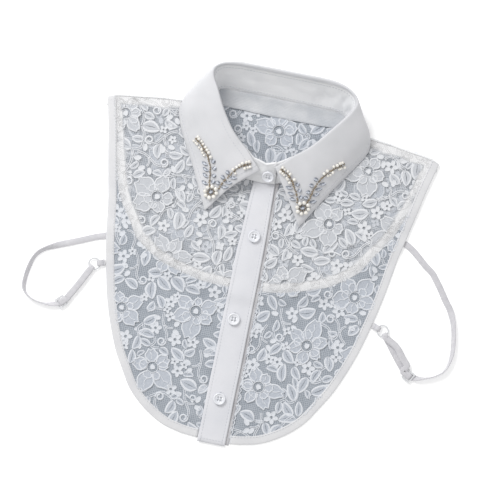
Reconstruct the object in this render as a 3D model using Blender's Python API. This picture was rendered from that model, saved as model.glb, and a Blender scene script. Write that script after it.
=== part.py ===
"""A detachable lace collar, buttoned and laid flat on its back.

Lengths are millimetres; X is the wearer's width, Y runs up to the back of the neck, Z is up.
The origin is the middle of the shoulder line, on the surface that the back panel lies on.
"""

import math

import bpy
from mathutils import Vector
from mathutils.geometry import delaunay_2d_cdt

# Cloth
LACE = 1.0
BINDING = 8.0
BINDING_THICK = 1.6
SEAM_GAP = 0.3
FRONT_LIFT = 2.0
STRAP_LIFT = 1.6
MESH_STEP = 10.0

# Placket
PLACKET_MIDDLE = 1.5
PLACKET_FOOT = -303.0
PLACKET_HEAD = -55.0
PLACKET_THICK = 1.6
PLACKET_LAP = 1.3
UNDER_PLACKET_SHOWS = 3.5
PLACKET_HALF = [(-303, 13.2), (-200, 13.0), (-120, 12.6), (-55, 10.5)]  # y, half width

# Collar
STAND_THICK = 1.4
LEAF_THICK = 1.2
STAND_LAP = 1.8
STAND_OVER_END = 12.0
STAND_UNDER_END = 11.0

# Buttons, elastic, rings and sliders
BUTTON_RADIUS = 5.75
BUTTON_THICK = 2.6
BUTTONS = [("button_upper", 2.3, -104), ("button_middle", -0.8, -184), ("button_lower", 1.0, -260)]
STAND_BUTTON = (4.8, -45.0)
ELASTIC_WIDE = 6.0
ELASTIC_THICK = 1.0
RING_RADIUS = 5.25
WIRE = 0.75
RING_Z = 2.05
SLIDER = (10.5, 9.0, 1.5)  # across the tape, along it, thick
SLIDER_BAR = 1.5
SLIDER_Z = 1.3

# Outer edge of the binding, from the shoulder tip round to the placket: x, y
FRONT_EDGE = [
    (159, -3), (155.5, -18), (152, -33), (148.5, -51.5), (143.5, -76), (139, -98), (134.8, -127),
    (130.2, -152), (123, -183), (117.5, -201), (111, -218.5), (103.7, -235), (93.5, -252.3),
    (85, -265.6), (74, -277), (60, -287.2), (45, -294.6), (28, -298.7), (14, -300),
]
# The same edge of the back panel, from the shoulder tip to the middle of its hem
BACK_EDGE = [
    (157, -3), (150.5, -18), (147, -33), (142, -51.5), (136, -70), (131, -84), (125.5, -93.5),
    (119, -103), (113, -112), (107, -122), (100, -128), (90, -135), (80, -141), (70, -144.5),
    (57, -148.5), (37, -153.5), (17.5, -155), (0, -156),
]
BACK_HEM_TILT = 0.045
SHOULDER = [(64, 10), (88, 8.5), (110, 6.7), (129, 4), (150, 1)]
BACK_NECK = [(63.5, 18), (60, 25), (48, 28), (0, 28.5)]

# Stand: x, y of its seam, then x, y, z of its top, from the middle front to the middle back
STAND = [
    (0, -52, 0, -35, 15), (14, -51, 11, -31.5, 16), (28, -46, 21, -25, 18),
    (40, -38, 30.4, -18, 20), (50, -29, 39.5, -9, 22), (57.5, -19.5, 47.8, 2, 24),
    (63, -8, 56, 14, 26), (65, 2, 62, 24, 27), (65.3, 10, 65.8, 30.5, 27.5),
    (64, 18, 67.3, 36, 28), (61, 23.5, 65.5, 41.5, 28), (56.5, 25.7, 62, 44.8, 28),
    (50, 26.6, 56.5, 47.5, 27.5), (36, 26.9, 45, 49.4, 26.5), (24, 26.9, 30, 49.7, 26),
    (0, 26.9, 0, 49.7, 26),
]
# Leaf: x, y, z of its fold, of its middle and of its edge, from the front edge to the middle back
LEAF = [
    (9, -36, 15, 27, -62, 11.5, 44.8, -87.6, 4.4), (20, -26, 18, 37, -51.5, 14, 50.5, -77.5, 4.3),
    (30.4, -18, 20, 46, -42, 15.5, 57, -65.5, 4.3), (39.5, -9, 22, 55, -30, 17, 65, -51, 4.3),
    (47.8, 2, 24, 64.5, -16.5, 18, 74, -36, 4.3), (56, 14, 26, 74.5, -3.5, 19, 83, -21, 4.4),
    (62, 24, 27, 82, 6, 18, 89.3, -8, 4.5), (65.8, 30.5, 27.5, 85.5, 14, 17, 90.6, 2.5, 4.5),
    (67.3, 36, 28, 82.3, 22, 16, 87, 11.5, 4.5), (65.5, 41.5, 28, 76.5, 30.5, 15, 81, 21.5, 3),
    (62, 44.8, 28, 70, 39, 14, 71, 32, 1.6), (56.5, 47.5, 27.5, 60, 47, 13, 59, 38, 1.2),
    (45, 49.4, 26.5, 46, 51, 13, 45, 38.5, 1.2), (30, 49.7, 26, 30, 51.5, 13, 30, 38.5, 1.2),
    (0, 49.7, 26, 0, 51.7, 13, 0, 38.5, 1.2),
]
# How far the worn collar has slipped sideways: y, x shift
COLLAR_SLIP = [(-90, -3.3), (0, 2), (20, 3), (35, 3), (52, 0)]
LEAF_SLIP = [(-90, -3.3), (-8, 1.5), (3, 0.3), (20, 0.5), (52, 0)]
# How far it is turned: y, rise to the right
COLLAR_TILT = [(5, 0.029), (26, -0.012), (50, 0.005)]
# The buttoned-over end pulls the left leaf's front corner to the middle: x, y
LEFT_CORNER = (3.6, -5)

# Elastic: x, y, z of the middle of the tape and how far it is turned on edge, in degrees
LEFT_STRAP = [
    (-115, -121.5, 0.5, 0), (-131.8, -130.3, 0.5, 0), (-142.7, -134.2, 0.5, 0),
    (-157.6, -140.8, 0.5, 0), (-172.5, -147.1, 0.5, 0), (-184.4, -152.8, 0.7, 5),
    (-192.3, -158.4, 1.3, 15), (-196.8, -165.5, 2.2, 35), (-199.4, -175.5, 2.9, 60),
    (-200.6, -186, 3.1, 75), (-200.2, -193.6, 3.2, 80), (-197.6, -198.5, 3.2, 80),
    (-192.5, -202.3, 3.1, 75), (-185.5, -204.6, 2.8, 55), (-178.5, -205.2, 1.9, 30),
    (-172.5, -204.6, 0.9, 8), (-167, -203.2, 0.5, 0), (-161.6, -199.6, 0.5, 0),
    (-157, -193.4, 0.5, 0), (-153.2, -186.6, 0.5, 0), (-149.2, -179, 0.5, 0),
    (-145.6, -171.6, 0.5, 0),
]
RIGHT_STRAP = [
    (134.2, -80.4, 0.5, 0), (142.5, -82.5, 0.5, 0), (148.5, -85.4, 0.5, 0),
    (156.6, -91.3, 0.5, 0), (164.8, -98.2, 0.5, 0), (172.9, -104, 0.5, 0), (178, -109.9, 0.5, 0),
    (184.1, -117.8, 0.5, 0), (190.3, -126.7, 0.5, 0), (196.4, -134.6, 0.5, 0),
    (200.6, -143.5, 0.5, 0), (203.7, -153.5, 0.8, -8), (206, -166.5, 1.8, -28),
    (206.6, -176.4, 2.7, -50), (205.3, -185.5, 3.1, -70), (202.4, -192.5, 3.2, -80),
    (197.5, -197.1, 3.2, -80), (190.6, -200.9, 3, -65), (184, -203, 2.2, -40),
    (178.6, -204, 1.1, -12), (173.4, -204.2, 0.5, 0), (168.6, -202.2, 0.5, 0),
    (163.5, -197.4, 0.5, 0), (158.4, -191.5, 0.5, 0), (150.8, -182.2, 0.5, 0),
    (144.4, -174.2, 0.5, 0),
]
# Ring centre, the tab's start and the slider's centre
LEFT_HARDWARE = {"ring": (-139.6, -159.2), "tab": (-130.1, -156.1), "slider": (-162.6, -200.6)}
RIGHT_HARDWARE = {"ring": (138.4, -166.8), "tab": (128.4, -163.7), "slider": (170.6, -203.4)}

COLOURS = {
    "lace": (0.66, 0.68, 0.72), "cotton": (0.80, 0.81, 0.83), "binding": (0.84, 0.84, 0.86),
    "elastic": (0.64, 0.63, 0.66), "plastic": (0.85, 0.85, 0.84), "button": (0.87, 0.87, 0.88),
}


def add_solid(name, colour, points, faces):
    """One closed node from points in millimetres."""
    mesh = bpy.data.meshes.new(name)
    mesh.from_pydata([tuple(c / 1000 for c in p) for p in points], [], faces)
    material = bpy.data.materials.new(name)
    material.use_nodes = True
    shader = material.node_tree.nodes["Principled BSDF"]
    shader.inputs["Base Color"].default_value = (*COLOURS[colour], 1)
    shader.inputs["Roughness"].default_value = 0.75
    mesh.materials.append(material)
    bpy.context.scene.collection.objects.link(bpy.data.objects.new(name, mesh))


def between(table, at):
    """The second column of a table at a value of its first."""
    if at <= table[0][0]:
        return table[0][1]
    for (a, u), (b, v) in zip(table, table[1:]):
        if at <= b:
            return u + (v - u) * (at - a) / (b - a)
    return table[-1][1]


def ease(t):
    t = min(1.0, max(0.0, t))
    return t * t * (3 - 2 * t)


def curve(points, steps):
    """A Catmull-Rom line through points of any size, steps pieces to a span."""
    points = [Vector(p) for p in points]
    ends = [2 * points[0] - points[1], *points, 2 * points[-1] - points[-2]]
    line = []
    for a, b, c, d in zip(ends, ends[1:], ends[2:], ends[3:]):
        for i in range(steps):
            t = i / steps
            line.append(
                0.5 * (2 * b + (c - a) * t + (2 * a - 5 * b + 4 * c - d) * t**2
                       + (3 * b - a - 3 * c + d) * t**3)
            )
    return line + [points[-1]]


def mirrored(points):
    return [(-p[0], *p[1:]) for p in points]


# Plan outlines

def inset(line, distance, start, end):
    """A line moved inwards, its two ends along the directions start and end."""
    moved = []
    for i, p in enumerate(line):
        before, after = line[max(0, i - 1)], line[min(len(line) - 1, i + 1)]
        along = Vector((after[0] - before[0], after[1] - before[1])).normalized()
        inwards = Vector((along.y, -along.x))
        if i in (0, len(line) - 1):
            inwards = Vector(start if i == 0 else end)
        moved.append((p[0] + inwards.x * distance, p[1] + inwards.y * distance))
    return moved


def tilted_hem(p):
    """The back panel lies a little askew: its hem is higher on the right."""
    return (p[0], p[1] + BACK_HEM_TILT * p[0] * ease((-40 - p[1]) / 60))


TIP_INWARDS = (-0.95, 0.36)
BACK_LEFT = [(-x, y) for x, y in BACK_EDGE]
BACK_RIGHT = BACK_EDGE
BACK_OUTLINE = [tilted_hem(p) for p in BACK_RIGHT + BACK_LEFT[::-1][1:]]


def distance_to_line(x, y, line):
    nearest = 1e9
    for (ax, ay), (bx, by) in zip(line, line[1:]):
        ux, uy = bx - ax, by - ay
        t = ((x - ax) * ux + (y - ay) * uy) / (ux * ux + uy * uy)
        t = min(1, max(0, t))
        nearest = min(nearest, math.hypot(x - ax - t * ux, y - ay - t * uy))
    return nearest


def over_back(x, y):
    """True where the front lies over the back panel."""
    inside = False
    for (ax, ay), (bx, by) in zip(BACK_OUTLINE, BACK_OUTLINE[1:]):
        if (ay > y) != (by > y) and x < ax + (y - ay) * (bx - ax) / (by - ay):
            inside = not inside
    return inside or y > -6


def lift(x, y):
    """How high the front's underside lies: over the back panel, over a strap, or on the surface."""
    away = 0 if over_back(x, y) else distance_to_line(x, y, BACK_OUTLINE)
    high = FRONT_LIFT * (1 - ease((away - 3) / 13))
    for strap in (LEFT_STRAP, RIGHT_STRAP):
        away = distance_to_line(x, y, [p[:2] for p in strap[:3]])
        high = max(high, STRAP_LIFT * (1 - ease((away - 5) / 14)))
    return high


def placket_half(y):
    return between(PLACKET_HALF, y)


def slip(x, y, table=COLLAR_SLIP):
    """Where a point of the collar lies after it has slipped."""
    return (x + between(table, y), y + between(COLLAR_TILT, y) * x)


# Solids from outlines and sections

def add_sheet(name, colour, outline, inner, under, thick):
    """A wall over a plan outline: under(x, y) is its underside, inner its points inside."""
    count = len(outline)
    loose = [Vector(p[:2]) for p in outline + inner]
    points, _, faces, _, _, _ = delaunay_2d_cdt(loose, [], [list(range(count))], 1, 1e-4)
    low = [(p.x, p.y, under(p.x, p.y)) for p in points]
    high = [(x, y, z + thick) for x, y, z in low]
    upper = [tuple(i + len(low) for i in f) for f in faces]
    lower = [tuple(reversed(f)) for f in faces]
    edges = {(a, b) for f in faces for a, b in zip(f, [*f[1:], f[0]])}
    walls = [(a, b, b + len(low), a + len(low)) for a, b in edges if (b, a) not in edges]
    add_solid(name, colour, low + high, upper + lower + walls)


def add_loft(name, colour, sections, closed=False):
    """A solid through sections with the same number of points; capped unless closed."""
    count, rows = len(sections[0]), len(sections)
    faces = []
    for r in range(rows if closed else rows - 1):
        a, b = r * count, (r + 1) % rows * count
        for i in range(count):
            j = (i + 1) % count
            faces.append((a + i, a + j, b + j, b + i))
    if not closed:
        last = (rows - 1) * count
        faces.append(tuple(range(count))[::-1])
        faces.append(tuple(last + i for i in range(count)))
    points = [p for section in sections for p in section]
    total = sum(
        Vector(points[f[0]]).dot(Vector(points[f[i]]).cross(Vector(points[f[i + 1]])))
        for f in faces for i in range(1, len(f) - 1)
    )
    if total < 0:
        faces = [f[::-1] for f in faces]
    add_solid(name, colour, points, faces)


def add_shell(name, colour, grid, thick):
    """A wall of even thickness about a grid of points, rows of equal length."""
    rows, count = len(grid), len(grid[0])
    grid = [[Vector(p) for p in row] for row in grid]
    sides = {1: [], -1: []}
    for r in range(rows):
        for i in range(count):
            along = grid[min(r + 1, rows - 1)][i] - grid[max(r - 1, 0)][i]
            across = grid[r][min(i + 1, count - 1)] - grid[r][max(i - 1, 0)]
            normal = along.cross(across).normalized()
            for side in sides:
                sides[side].append(tuple(grid[r][i] + normal * side * thick / 2))
    sections = []
    for r in range(rows):
        row = slice(r * count, (r + 1) * count)
        sections.append(sides[1][row] + sides[-1][row][::-1])
    add_loft(name, colour, sections)


# Lace panels and their bindings

def step_line(line, step):
    """A line of corners with more points on its long sides."""
    out = []
    for a, b in zip(line, line[1:]):
        pieces = max(1, round(math.dist(a[:2], b[:2]) / step))
        out += [(a[0] + (b[0] - a[0]) * i / pieces, a[1] + (b[1] - a[1]) * i / pieces)
                for i in range(pieces)]
    return out + [tuple(line[-1][:2])]


def inside(x, y, outline, margin):
    hit = False
    for (ax, ay), (bx, by) in zip(outline, [*outline[1:], outline[0]]):
        if (ay > y) != (by > y) and x < ax + (y - ay) * (bx - ax) / (by - ay):
            hit = not hit
    return hit and distance_to_line(x, y, [*outline, outline[0]]) > margin


def filling(outline, step):
    """Points inside an outline, in rows set off by half a step."""
    xs, ys = [p[0] for p in outline], [p[1] for p in outline]
    found = []
    for r in range(math.ceil((max(ys) - min(ys)) / step)):
        y = min(ys) + (r + 0.5) * step
        for i in range(math.ceil((max(xs) - min(xs)) / step) + 1):
            x = min(xs) + (i + 0.5 * (r % 2)) * step
            if inside(x, y, outline, step * 0.45):
                found.append((x, y))
    return found


def add_binding(name, outer, inner, under):
    """A folded strip between two lines in plan, its edges rounded off."""
    sections = []
    for (ox, oy), (ix, iy) in zip(outer, inner):
        section = []
        for share, high in ((0, 0.4), (0.08, 0), (0.92, 0), (1, 0.4), (0.92, 1), (0.08, 1)):
            x, y = ox + (ix - ox) * share, oy + (iy - oy) * share
            section.append((x, y, under(x, y) + high * BINDING_THICK))
        sections.append(section)
    add_loft(name, "binding", sections)


def flat(x, y):
    return 0.0


def neck_line(side, inwards):
    """The seam of the stand on the front, from the placket to the neck point."""
    line = [(side * (x - inwards * x / 65), y + inwards * 0.6) for x, y, *_ in STAND[:8]]
    return [slip(x, y) for x, y in curve([(*p,) for p in line], 2)]


def front_edge(side):
    """The outer edge of the front's binding in plan, down to the placket."""
    foot = -(PLACKET_MIDDLE - placket_half(-300) - SEAM_GAP)
    if side > 0:
        foot = PLACKET_MIDDLE + placket_half(-300) + UNDER_PLACKET_SHOWS + SEAM_GAP
    line = [tuple(p) for p in curve(FRONT_EDGE[:-1], 2) if p[0] > foot + 3] + [(foot, -299.8)]
    return line if side > 0 else mirrored(line)


def add_front(side, name):
    outer = front_edge(side)
    tip, foot = (side * TIP_INWARDS[0], TIP_INWARDS[1]), (0, 1)
    turn = 1 if side > 0 else -1
    inner = inset(outer, turn * BINDING, [turn * v for v in tip], [turn * v for v in foot])
    add_binding(f"front_binding_{name}", outer, inner, lift)
    reach = BINDING + SEAM_GAP
    edge = inset(outer, turn * reach, [turn * v for v in tip], [turn * v for v in foot])
    rows = step_line([(0, edge[-1][1]), (0, -60), (0, -54)], 6)
    inner_edge = []
    for _, y in rows:
        if side > 0:
            x = PLACKET_MIDDLE + placket_half(y) + UNDER_PLACKET_SHOWS + SEAM_GAP
        else:
            x = PLACKET_MIDDLE - placket_half(y) + PLACKET_LAP
        inner_edge.append((x, y))
    neck = [p for p in neck_line(side, 1.2) if abs(p[0]) > abs(inner_edge[-1][0]) + 3]
    shoulder = [(side * x, y) for x, y in SHOULDER]
    outline = edge[:-1] + inner_edge + neck + step_line(shoulder, 12)
    under_strap = []
    strap = RIGHT_STRAP if side > 0 else LEFT_STRAP
    for p in curve([s[:2] for s in strap[:3]], 4):
        under_strap += [(p.x, p.y + d) for d in (-6, 0, 6)]
    inner_points = filling(outline, MESH_STEP)
    inner_points += [p for p in under_strap if inside(*p, outline, 2)]
    add_sheet(f"front_panel_{name}", "lace", outline, inner_points, lift, LACE)


def add_back():
    right = [tuple(p) for p in curve(BACK_RIGHT, 2)]
    right = [tilted_hem(p) for p in right]
    left = [tilted_hem(p) for p in mirrored([tuple(p) for p in curve(BACK_RIGHT, 2)])]
    outer = right + left[::-1][1:]
    ends = (TIP_INWARDS, (-TIP_INWARDS[0], TIP_INWARDS[1]))
    add_binding("back_binding", outer, inset(outer, BINDING, *ends), flat)
    edge = inset(outer, BINDING + SEAM_GAP, *ends)
    neck = [*SHOULDER[::-1], *BACK_NECK]
    top = mirrored(neck) + neck[::-1][1:]
    add_sheet("back_panel", "lace", edge + top, [], flat, LACE)
    half = [(61.5, 10.5), (60.5, 16), (56.5, 21.5), (48, 24.8), (0, 25.6)]
    facing = half + mirrored(half)[::-1][1:] + [(0, 9.6)]
    add_sheet("back_neck_facing", "cotton", facing, [], lambda x, y: LACE + SEAM_GAP, LACE)


# Button band

def placket_rows(foot):
    return [y for _, y in step_line([(0, foot), (0, PLACKET_HEAD)], 6)]


def add_band(name, colour, foot, sides, under, thick):
    """A straight strip down the front; sides(y) gives its two edges."""
    sections = []
    for y in placket_rows(foot):
        left, right = sides(y)
        low = under(PLACKET_MIDDLE, y)
        sections.append([
            (left, y, low), (right, y, low), (right, y, low + thick * 0.7),
            (right - 0.6, y, low + thick), (left + 0.6, y, low + thick), (left, y, low + thick * 0.7),
        ])
    add_loft(name, colour, sections)


def add_plackets():
    def over(y):
        return PLACKET_MIDDLE - placket_half(y), PLACKET_MIDDLE + placket_half(y)

    def under(y):
        left, right = over(y)
        return left + PLACKET_LAP + SEAM_GAP, right + UNDER_PLACKET_SHOWS

    add_band("under_placket", "cotton", PLACKET_FOOT + 1.5, under, lift, LACE)
    high = LACE + 0.4
    add_band("placket", "cotton", PLACKET_FOOT, over, lambda x, y: lift(x, y) + high, PLACKET_THICK)


# Collar

def raised(x, y):
    """How far the stand's over end, and the leaf above it, ride over the under end."""
    return STAND_LAP * (1 - ease((-15 - x) / 14)) * (1 - ease((x - 16) / 10)) if y < 0 else 0


def stand_section(row, raise_by):
    """Four points up the stand at one station of its half table."""
    bx, by, tx, ty, tz = row
    bottom_z = 4.0 if by < 9 else 4.0 - 1.1 * ease((by - 9) / 8)
    bottom, top = Vector((*slip(bx, by), bottom_z)), Vector((*slip(tx, ty), tz))
    lean = (top - bottom).normalized()
    outwards = Vector((0, -lean.z, lean.y)) * raise_by
    bow = Vector((bx, by + 10, 0)).normalized() * 0.8
    return [bottom + (top - bottom) * t + bow * 4 * t * (1 - t) + outwards
            for t in (0, 0.33, 0.67, 1)]


def front_row(x):
    """The stand's table read at a place across the front."""
    (a, b), share = STAND[:2], abs(x) / STAND[1][0]
    row = [u + (v - u) * share for u, v in zip(a, b)]
    row[0], row[2] = x, math.copysign(row[2], x)
    return row


def add_stand():
    half = [tuple(p) for p in curve(STAND, 2)]
    left = [(-r[0], r[1], -r[2], *r[3:]) for r in half]
    grid = [stand_section(front_row(x), STAND_LAP) for x in (STAND_OVER_END, 6, 0, -6)]
    for row in left[2:]:
        grid.append(stand_section(row, raised(row[0], row[1])))
    grid += [stand_section(row, 0) for row in half[:-1][::-1][:-2]]
    grid += [stand_section(front_row(x), 0) for x in (6, 0, -6, -STAND_UNDER_END)]
    add_shell("collar_stand", "cotton", grid, STAND_THICK)


def leaf_section(row):
    """The leaf at one station: up off the stand, over the fold and down to its edge."""
    tables = (COLLAR_SLIP, LEAF_SLIP, LEAF_SLIP)
    fold, middle, edge = (Vector((*slip(*row[i:i + 2], table), row[i + 2]))
                          for i, table in zip((0, 3, 6), tables))
    fold = fold + Vector((0, -0.55, 0.84)) * raised(row[0], row[1])
    if row[0] < 0 and row[1] < 0:
        fold += Vector((*LEFT_CORNER, 0)) * ease((23 + row[0]) / 14)
    out = Vector((middle.x - fold.x, middle.y - fold.y, 0)).normalized()
    out = (out + Vector((fold.x, fold.y + 10, 0)).normalized() * ease((fold.y - 20) / 15)).normalized()
    up = Vector((0, 0, 1))
    start = fold + up * 1.3
    line = [start, start + out * 0.7 + up * 1.7, start + out * 3 + up * 1.9, middle, edge]
    return curve(line, 2)


def add_leaf():
    half = [tuple(p) for p in curve(LEAF, 2)]
    left = [(-r[0], r[1], r[2], -r[3], r[4], r[5], -r[6], r[7], r[8]) for r in half]
    rows = left + half[::-1][1:]
    add_shell("collar_leaf", "cotton", [leaf_section(r) for r in rows], LEAF_THICK)


# Buttons

def ring_points(radius, count, middle=(0, 0)):
    return [
        (middle[0] + radius * math.cos(2 * math.pi * i / count),
         middle[1] + radius * math.sin(2 * math.pi * i / count))
        for i in range(count)
    ]


def button_mesh():
    """A four-hole button about its own middle, with a raised rim."""
    profile = [(BUTTON_RADIUS - 1, 0), (BUTTON_RADIUS, 0.9), (BUTTON_RADIUS, BUTTON_THICK - 0.5),
               (BUTTON_RADIUS - 0.6, BUTTON_THICK), (BUTTON_RADIUS - 1.4, BUTTON_THICK - 0.3),
               (BUTTON_RADIUS - 1.9, BUTTON_THICK - 1)]
    count, holes = 24, [(a, b) for a in (-1.3, 1.3) for b in (-1.3, 1.3)]
    points = [(x, y, z) for r, z in profile for x, y in ring_points(r, count)]
    faces = []
    for k in range(len(profile) - 1):
        for i in range(count):
            j = (i + 1) % count
            faces.append((k * count + i, k * count + j, (k + 1) * count + j, (k + 1) * count + i))
    eyes = [ring_points(0.7, 6, hole) for hole in holes]
    for ring, z, turn in ((0, 0, -1), (len(profile) - 1, profile[-1][1], 1)):
        flat_points = [Vector(p[:2]) for p in points[ring * count:(ring + 1) * count]]
        first = [ring * count + i for i in range(count)]
        for n, eye in enumerate(eyes):
            flat_points += [Vector(p) for p in eye]
            first += [len(points) + n * 6 + i for i in range(6)]
        points += [(x, y, z) for eye in eyes for x, y in eye]
        loops = [list(range(count))] + [[count + 6 * n + i for i in range(6)] for n in range(4)]
        edges = [(loop[i], loop[(i + 1) % len(loop)]) for loop in loops for i in range(len(loop))]
        _, _, cut, _, _, _ = delaunay_2d_cdt(flat_points, edges, [], 1, 1e-5)
        for f in cut:
            middle = sum((flat_points[i] for i in f), Vector((0, 0))) / 3
            if all((middle - Vector(hole)).length > 0.6 for hole in holes):
                faces.append(tuple(first[i] for i in (f if turn > 0 else f[::-1])))
    low, high = len(profile) * count, len(profile) * count + 24
    for n in range(4):
        for i in range(6):
            j = (i + 1) % 6
            a, b = n * 6 + i, n * 6 + j
            faces.append((low + b, low + a, high + a, high + b))
    return points, faces


def add_button(name, at, axis):
    points, faces = button_mesh()
    turn = Vector((0, 0, 1)).rotation_difference(Vector(axis))
    add_solid(name, "button", [tuple(turn @ Vector(p) + Vector(at)) for p in points], faces)


def add_buttons():
    for name, x, y in BUTTONS:
        top = lift(PLACKET_MIDDLE, y) + LACE + 0.4 + PLACKET_THICK
        add_button(name, (x, y, top + SEAM_GAP), (0, 0, 1))
    low, _, _, top = stand_section(front_row(STAND_BUTTON[0]), STAND_LAP)
    lean = (top - low).normalized()
    outwards = Vector((0, -lean.z, lean.y))
    at = low + lean * ((STAND_BUTTON[1] - low.y) / lean.y)
    add_button("button_stand", at + outwards * (STAND_THICK / 2 + 1.2 + SEAM_GAP), outwards)


# Straps

def tape_sections(path):
    """Cross-sections of the elastic along x, y, z, width and turn in degrees."""
    sections, side = [], None
    for i, p in enumerate(path):
        along = (Vector(path[min(i + 1, len(path) - 1)][:3]) - Vector(path[max(i - 1, 0)][:3]))
        along.normalize()
        if side is None:
            side = along.cross(Vector((0, 0, 1)))
        side = Vector((side.x, side.y, 0))
        side = (side - along * side.dot(along)).normalized()
        turn = math.radians(p[4])
        wide = side * math.cos(turn) + side.cross(along) * math.sin(turn)
        thick = along.cross(wide).normalized() * ELASTIC_THICK / 2
        wide = wide * p[3] / 2
        height = (abs(math.sin(turn)) * p[3] + abs(math.cos(turn)) * ELASTIC_THICK) / 2
        middle = Vector((p[0], p[1], max(p[2], height)))
        sections.append([tuple(middle + a * wide + b * thick)
                         for a, b in ((1, 1), (-1, 1), (-1, -1), (1, -1))])
    return sections


def round_wire(towards, middle, high):
    """The tape's way under the ring's wire, up inside the ring and back over it."""
    way = Vector((*towards, 0)).normalized()
    centre = Vector((*middle, 0))
    stops = [(7.5, 0.5, 6), (5.6, 0.5, 5.4), (3.9, 0.6, 5), (3.0, 1.2, 4.8), (2.8, 2.05, 4.8),
             (3.0, 2.9, 4.8), (3.9, 3.5, 5), (5.6, 3.65, 5.4), (7.5, high, 6)]
    return [(*(centre + way * out)[:2], z, width, 0) for out, z, width in stops]


def add_strap(name, table, hardware, back_offset):
    ring, slider = Vector(hardware["ring"]), Vector(hardware["slider"])
    out_path = [(*p[:3], ELASTIC_WIDE, p[3]) for p in curve(table, 2)]
    towards = Vector(table[-1][:2]) - ring
    loop = round_wire(towards, ring, 3.7)
    way = Vector(table[-5][:2]) - slider
    way.normalize()
    shift = Vector(back_offset)
    back = []
    for p in table[-2:-5:-1]:
        at = Vector(p[:2]) + shift
        back.append((*at, 3.7, ELASTIC_WIDE, 0))
    hook = [(7, 3.7), (4.5, 3.6), (1.5, 3.5), (0, 3.5), (-1.4, 3.3), (-2.1, 2.6), (-2.2, 1.9)]
    back += [(*(slider + way * s), z, ELASTIC_WIDE, 0) for s, z in hook]
    path = out_path + loop + back
    add_loft(f"strap_{name}", "elastic", tape_sections(path))


def add_ring(name, at):
    sections = []
    for i in range(28):
        a = 2 * math.pi * i / 28
        out = Vector((math.cos(a), math.sin(a), 0))
        sections.append([
            tuple(Vector((*at, RING_Z)) + out * (RING_RADIUS + WIRE * math.cos(b))
                  + Vector((0, 0, WIRE * math.sin(b))))
            for b in (2 * math.pi * k / 8 for k in range(8))
        ])
    add_loft(f"ring_{name}", "plastic", sections, closed=True)


def add_tab(name, start, ring):
    """A tape sewn under the binding's edge and looped round the ring."""
    start, ring = Vector(start), Vector(ring)
    towards = (start - ring).normalized()
    reach = (start - ring).length
    loop = round_wire(towards, ring, 3.6)
    low = [(*(ring + towards * reach), 0.5, ELASTIC_WIDE, 0)]
    high = [(*(ring + towards * (reach - 1.2)), 2.1, ELASTIC_WIDE, 0),
            (*(ring + towards * reach), 1.8, ELASTIC_WIDE, 0)]
    add_loft(f"tab_{name}", "elastic", tape_sections(low + loop[1:-1] + high))


def add_slider(name, at, way):
    """A frame with two windows, so that a bar is left across its middle."""
    across, along, thick = SLIDER
    way = Vector(way).normalized()
    side = Vector((way.y, -way.x))
    xs = [-across / 2, -across / 2 + SLIDER_BAR, across / 2 - SLIDER_BAR, across / 2]
    ys = [-along / 2, -along / 2 + SLIDER_BAR, -SLIDER_BAR / 2]
    ys += [-y for y in ys[::-1]]
    points, faces = [], []
    for z in (SLIDER_Z, SLIDER_Z + thick):
        for y in ys:
            for x in xs:
                plan = Vector(at) + side * x + way * y
                points.append((plan.x, plan.y, z))
    up = len(xs) * len(ys)
    solid = {(i, j) for i in range(3) for j in range(5)} - {(1, 1), (1, 3)}
    for i, j in solid:
        a, b, c, d = (v * 4 + u for u, v in ((i, j), (i + 1, j), (i + 1, j + 1), (i, j + 1)))
        faces += [(a, d, c, b), (a + up, b + up, c + up, d + up)]
        for (u, v), p, q in (((i, j - 1), a, b), ((i + 1, j), b, c), ((i, j + 1), c, d),
                             ((i - 1, j), d, a)):
            if (u, v) not in solid:
                faces.append((p, q, q + up, p + up))
    add_solid(f"slider_{name}", "plastic", points, faces)


def add_side(name, table, hardware, back_offset):
    add_strap(name, table, hardware, back_offset)
    add_ring(name, hardware["ring"])
    add_tab(name, hardware["tab"], hardware["ring"])
    way = Vector(table[-5][:2]) - Vector(hardware["slider"])
    add_slider(name, hardware["slider"], way)


def main():
    for obj in list(bpy.data.objects):
        bpy.data.objects.remove(obj, do_unlink=True)
    add_back()
    add_front(1, "right")
    add_front(-1, "left")
    add_plackets()
    add_stand()
    add_leaf()
    add_buttons()
    add_side("left", LEFT_STRAP, LEFT_HARDWARE, (0, 0))
    add_side("right", RIGHT_STRAP, RIGHT_HARDWARE, (3.6, 3.2))


main()
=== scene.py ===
"""The lace collar's looks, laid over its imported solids.

Lengths are millimetres in the frame of the solids: X across, Y up to the neck, Z up off the floor.
"""

import random
from math import copysign, cos, pi, radians, sin, sqrt

import bpy
import numpy as np
from mathutils import Matrix, Vector, noise
from mathutils.bvhtree import BVHTree
from mathutils.geometry import delaunay_2d_cdt


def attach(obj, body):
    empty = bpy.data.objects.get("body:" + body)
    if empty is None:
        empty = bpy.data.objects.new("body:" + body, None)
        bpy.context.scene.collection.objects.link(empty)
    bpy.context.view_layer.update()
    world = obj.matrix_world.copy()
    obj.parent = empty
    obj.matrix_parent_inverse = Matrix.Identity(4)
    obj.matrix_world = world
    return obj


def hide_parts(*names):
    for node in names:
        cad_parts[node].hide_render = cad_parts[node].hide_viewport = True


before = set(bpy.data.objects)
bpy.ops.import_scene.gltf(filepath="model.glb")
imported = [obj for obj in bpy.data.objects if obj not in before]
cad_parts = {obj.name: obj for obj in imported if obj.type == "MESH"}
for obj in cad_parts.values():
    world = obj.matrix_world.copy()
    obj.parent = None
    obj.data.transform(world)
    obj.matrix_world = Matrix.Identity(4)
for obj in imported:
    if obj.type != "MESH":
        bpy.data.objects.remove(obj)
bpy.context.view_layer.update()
MM = 0.001
UP = Vector((0, 0, 1))
SIDES = ((-1, "left"), (1, "right"))

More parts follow.
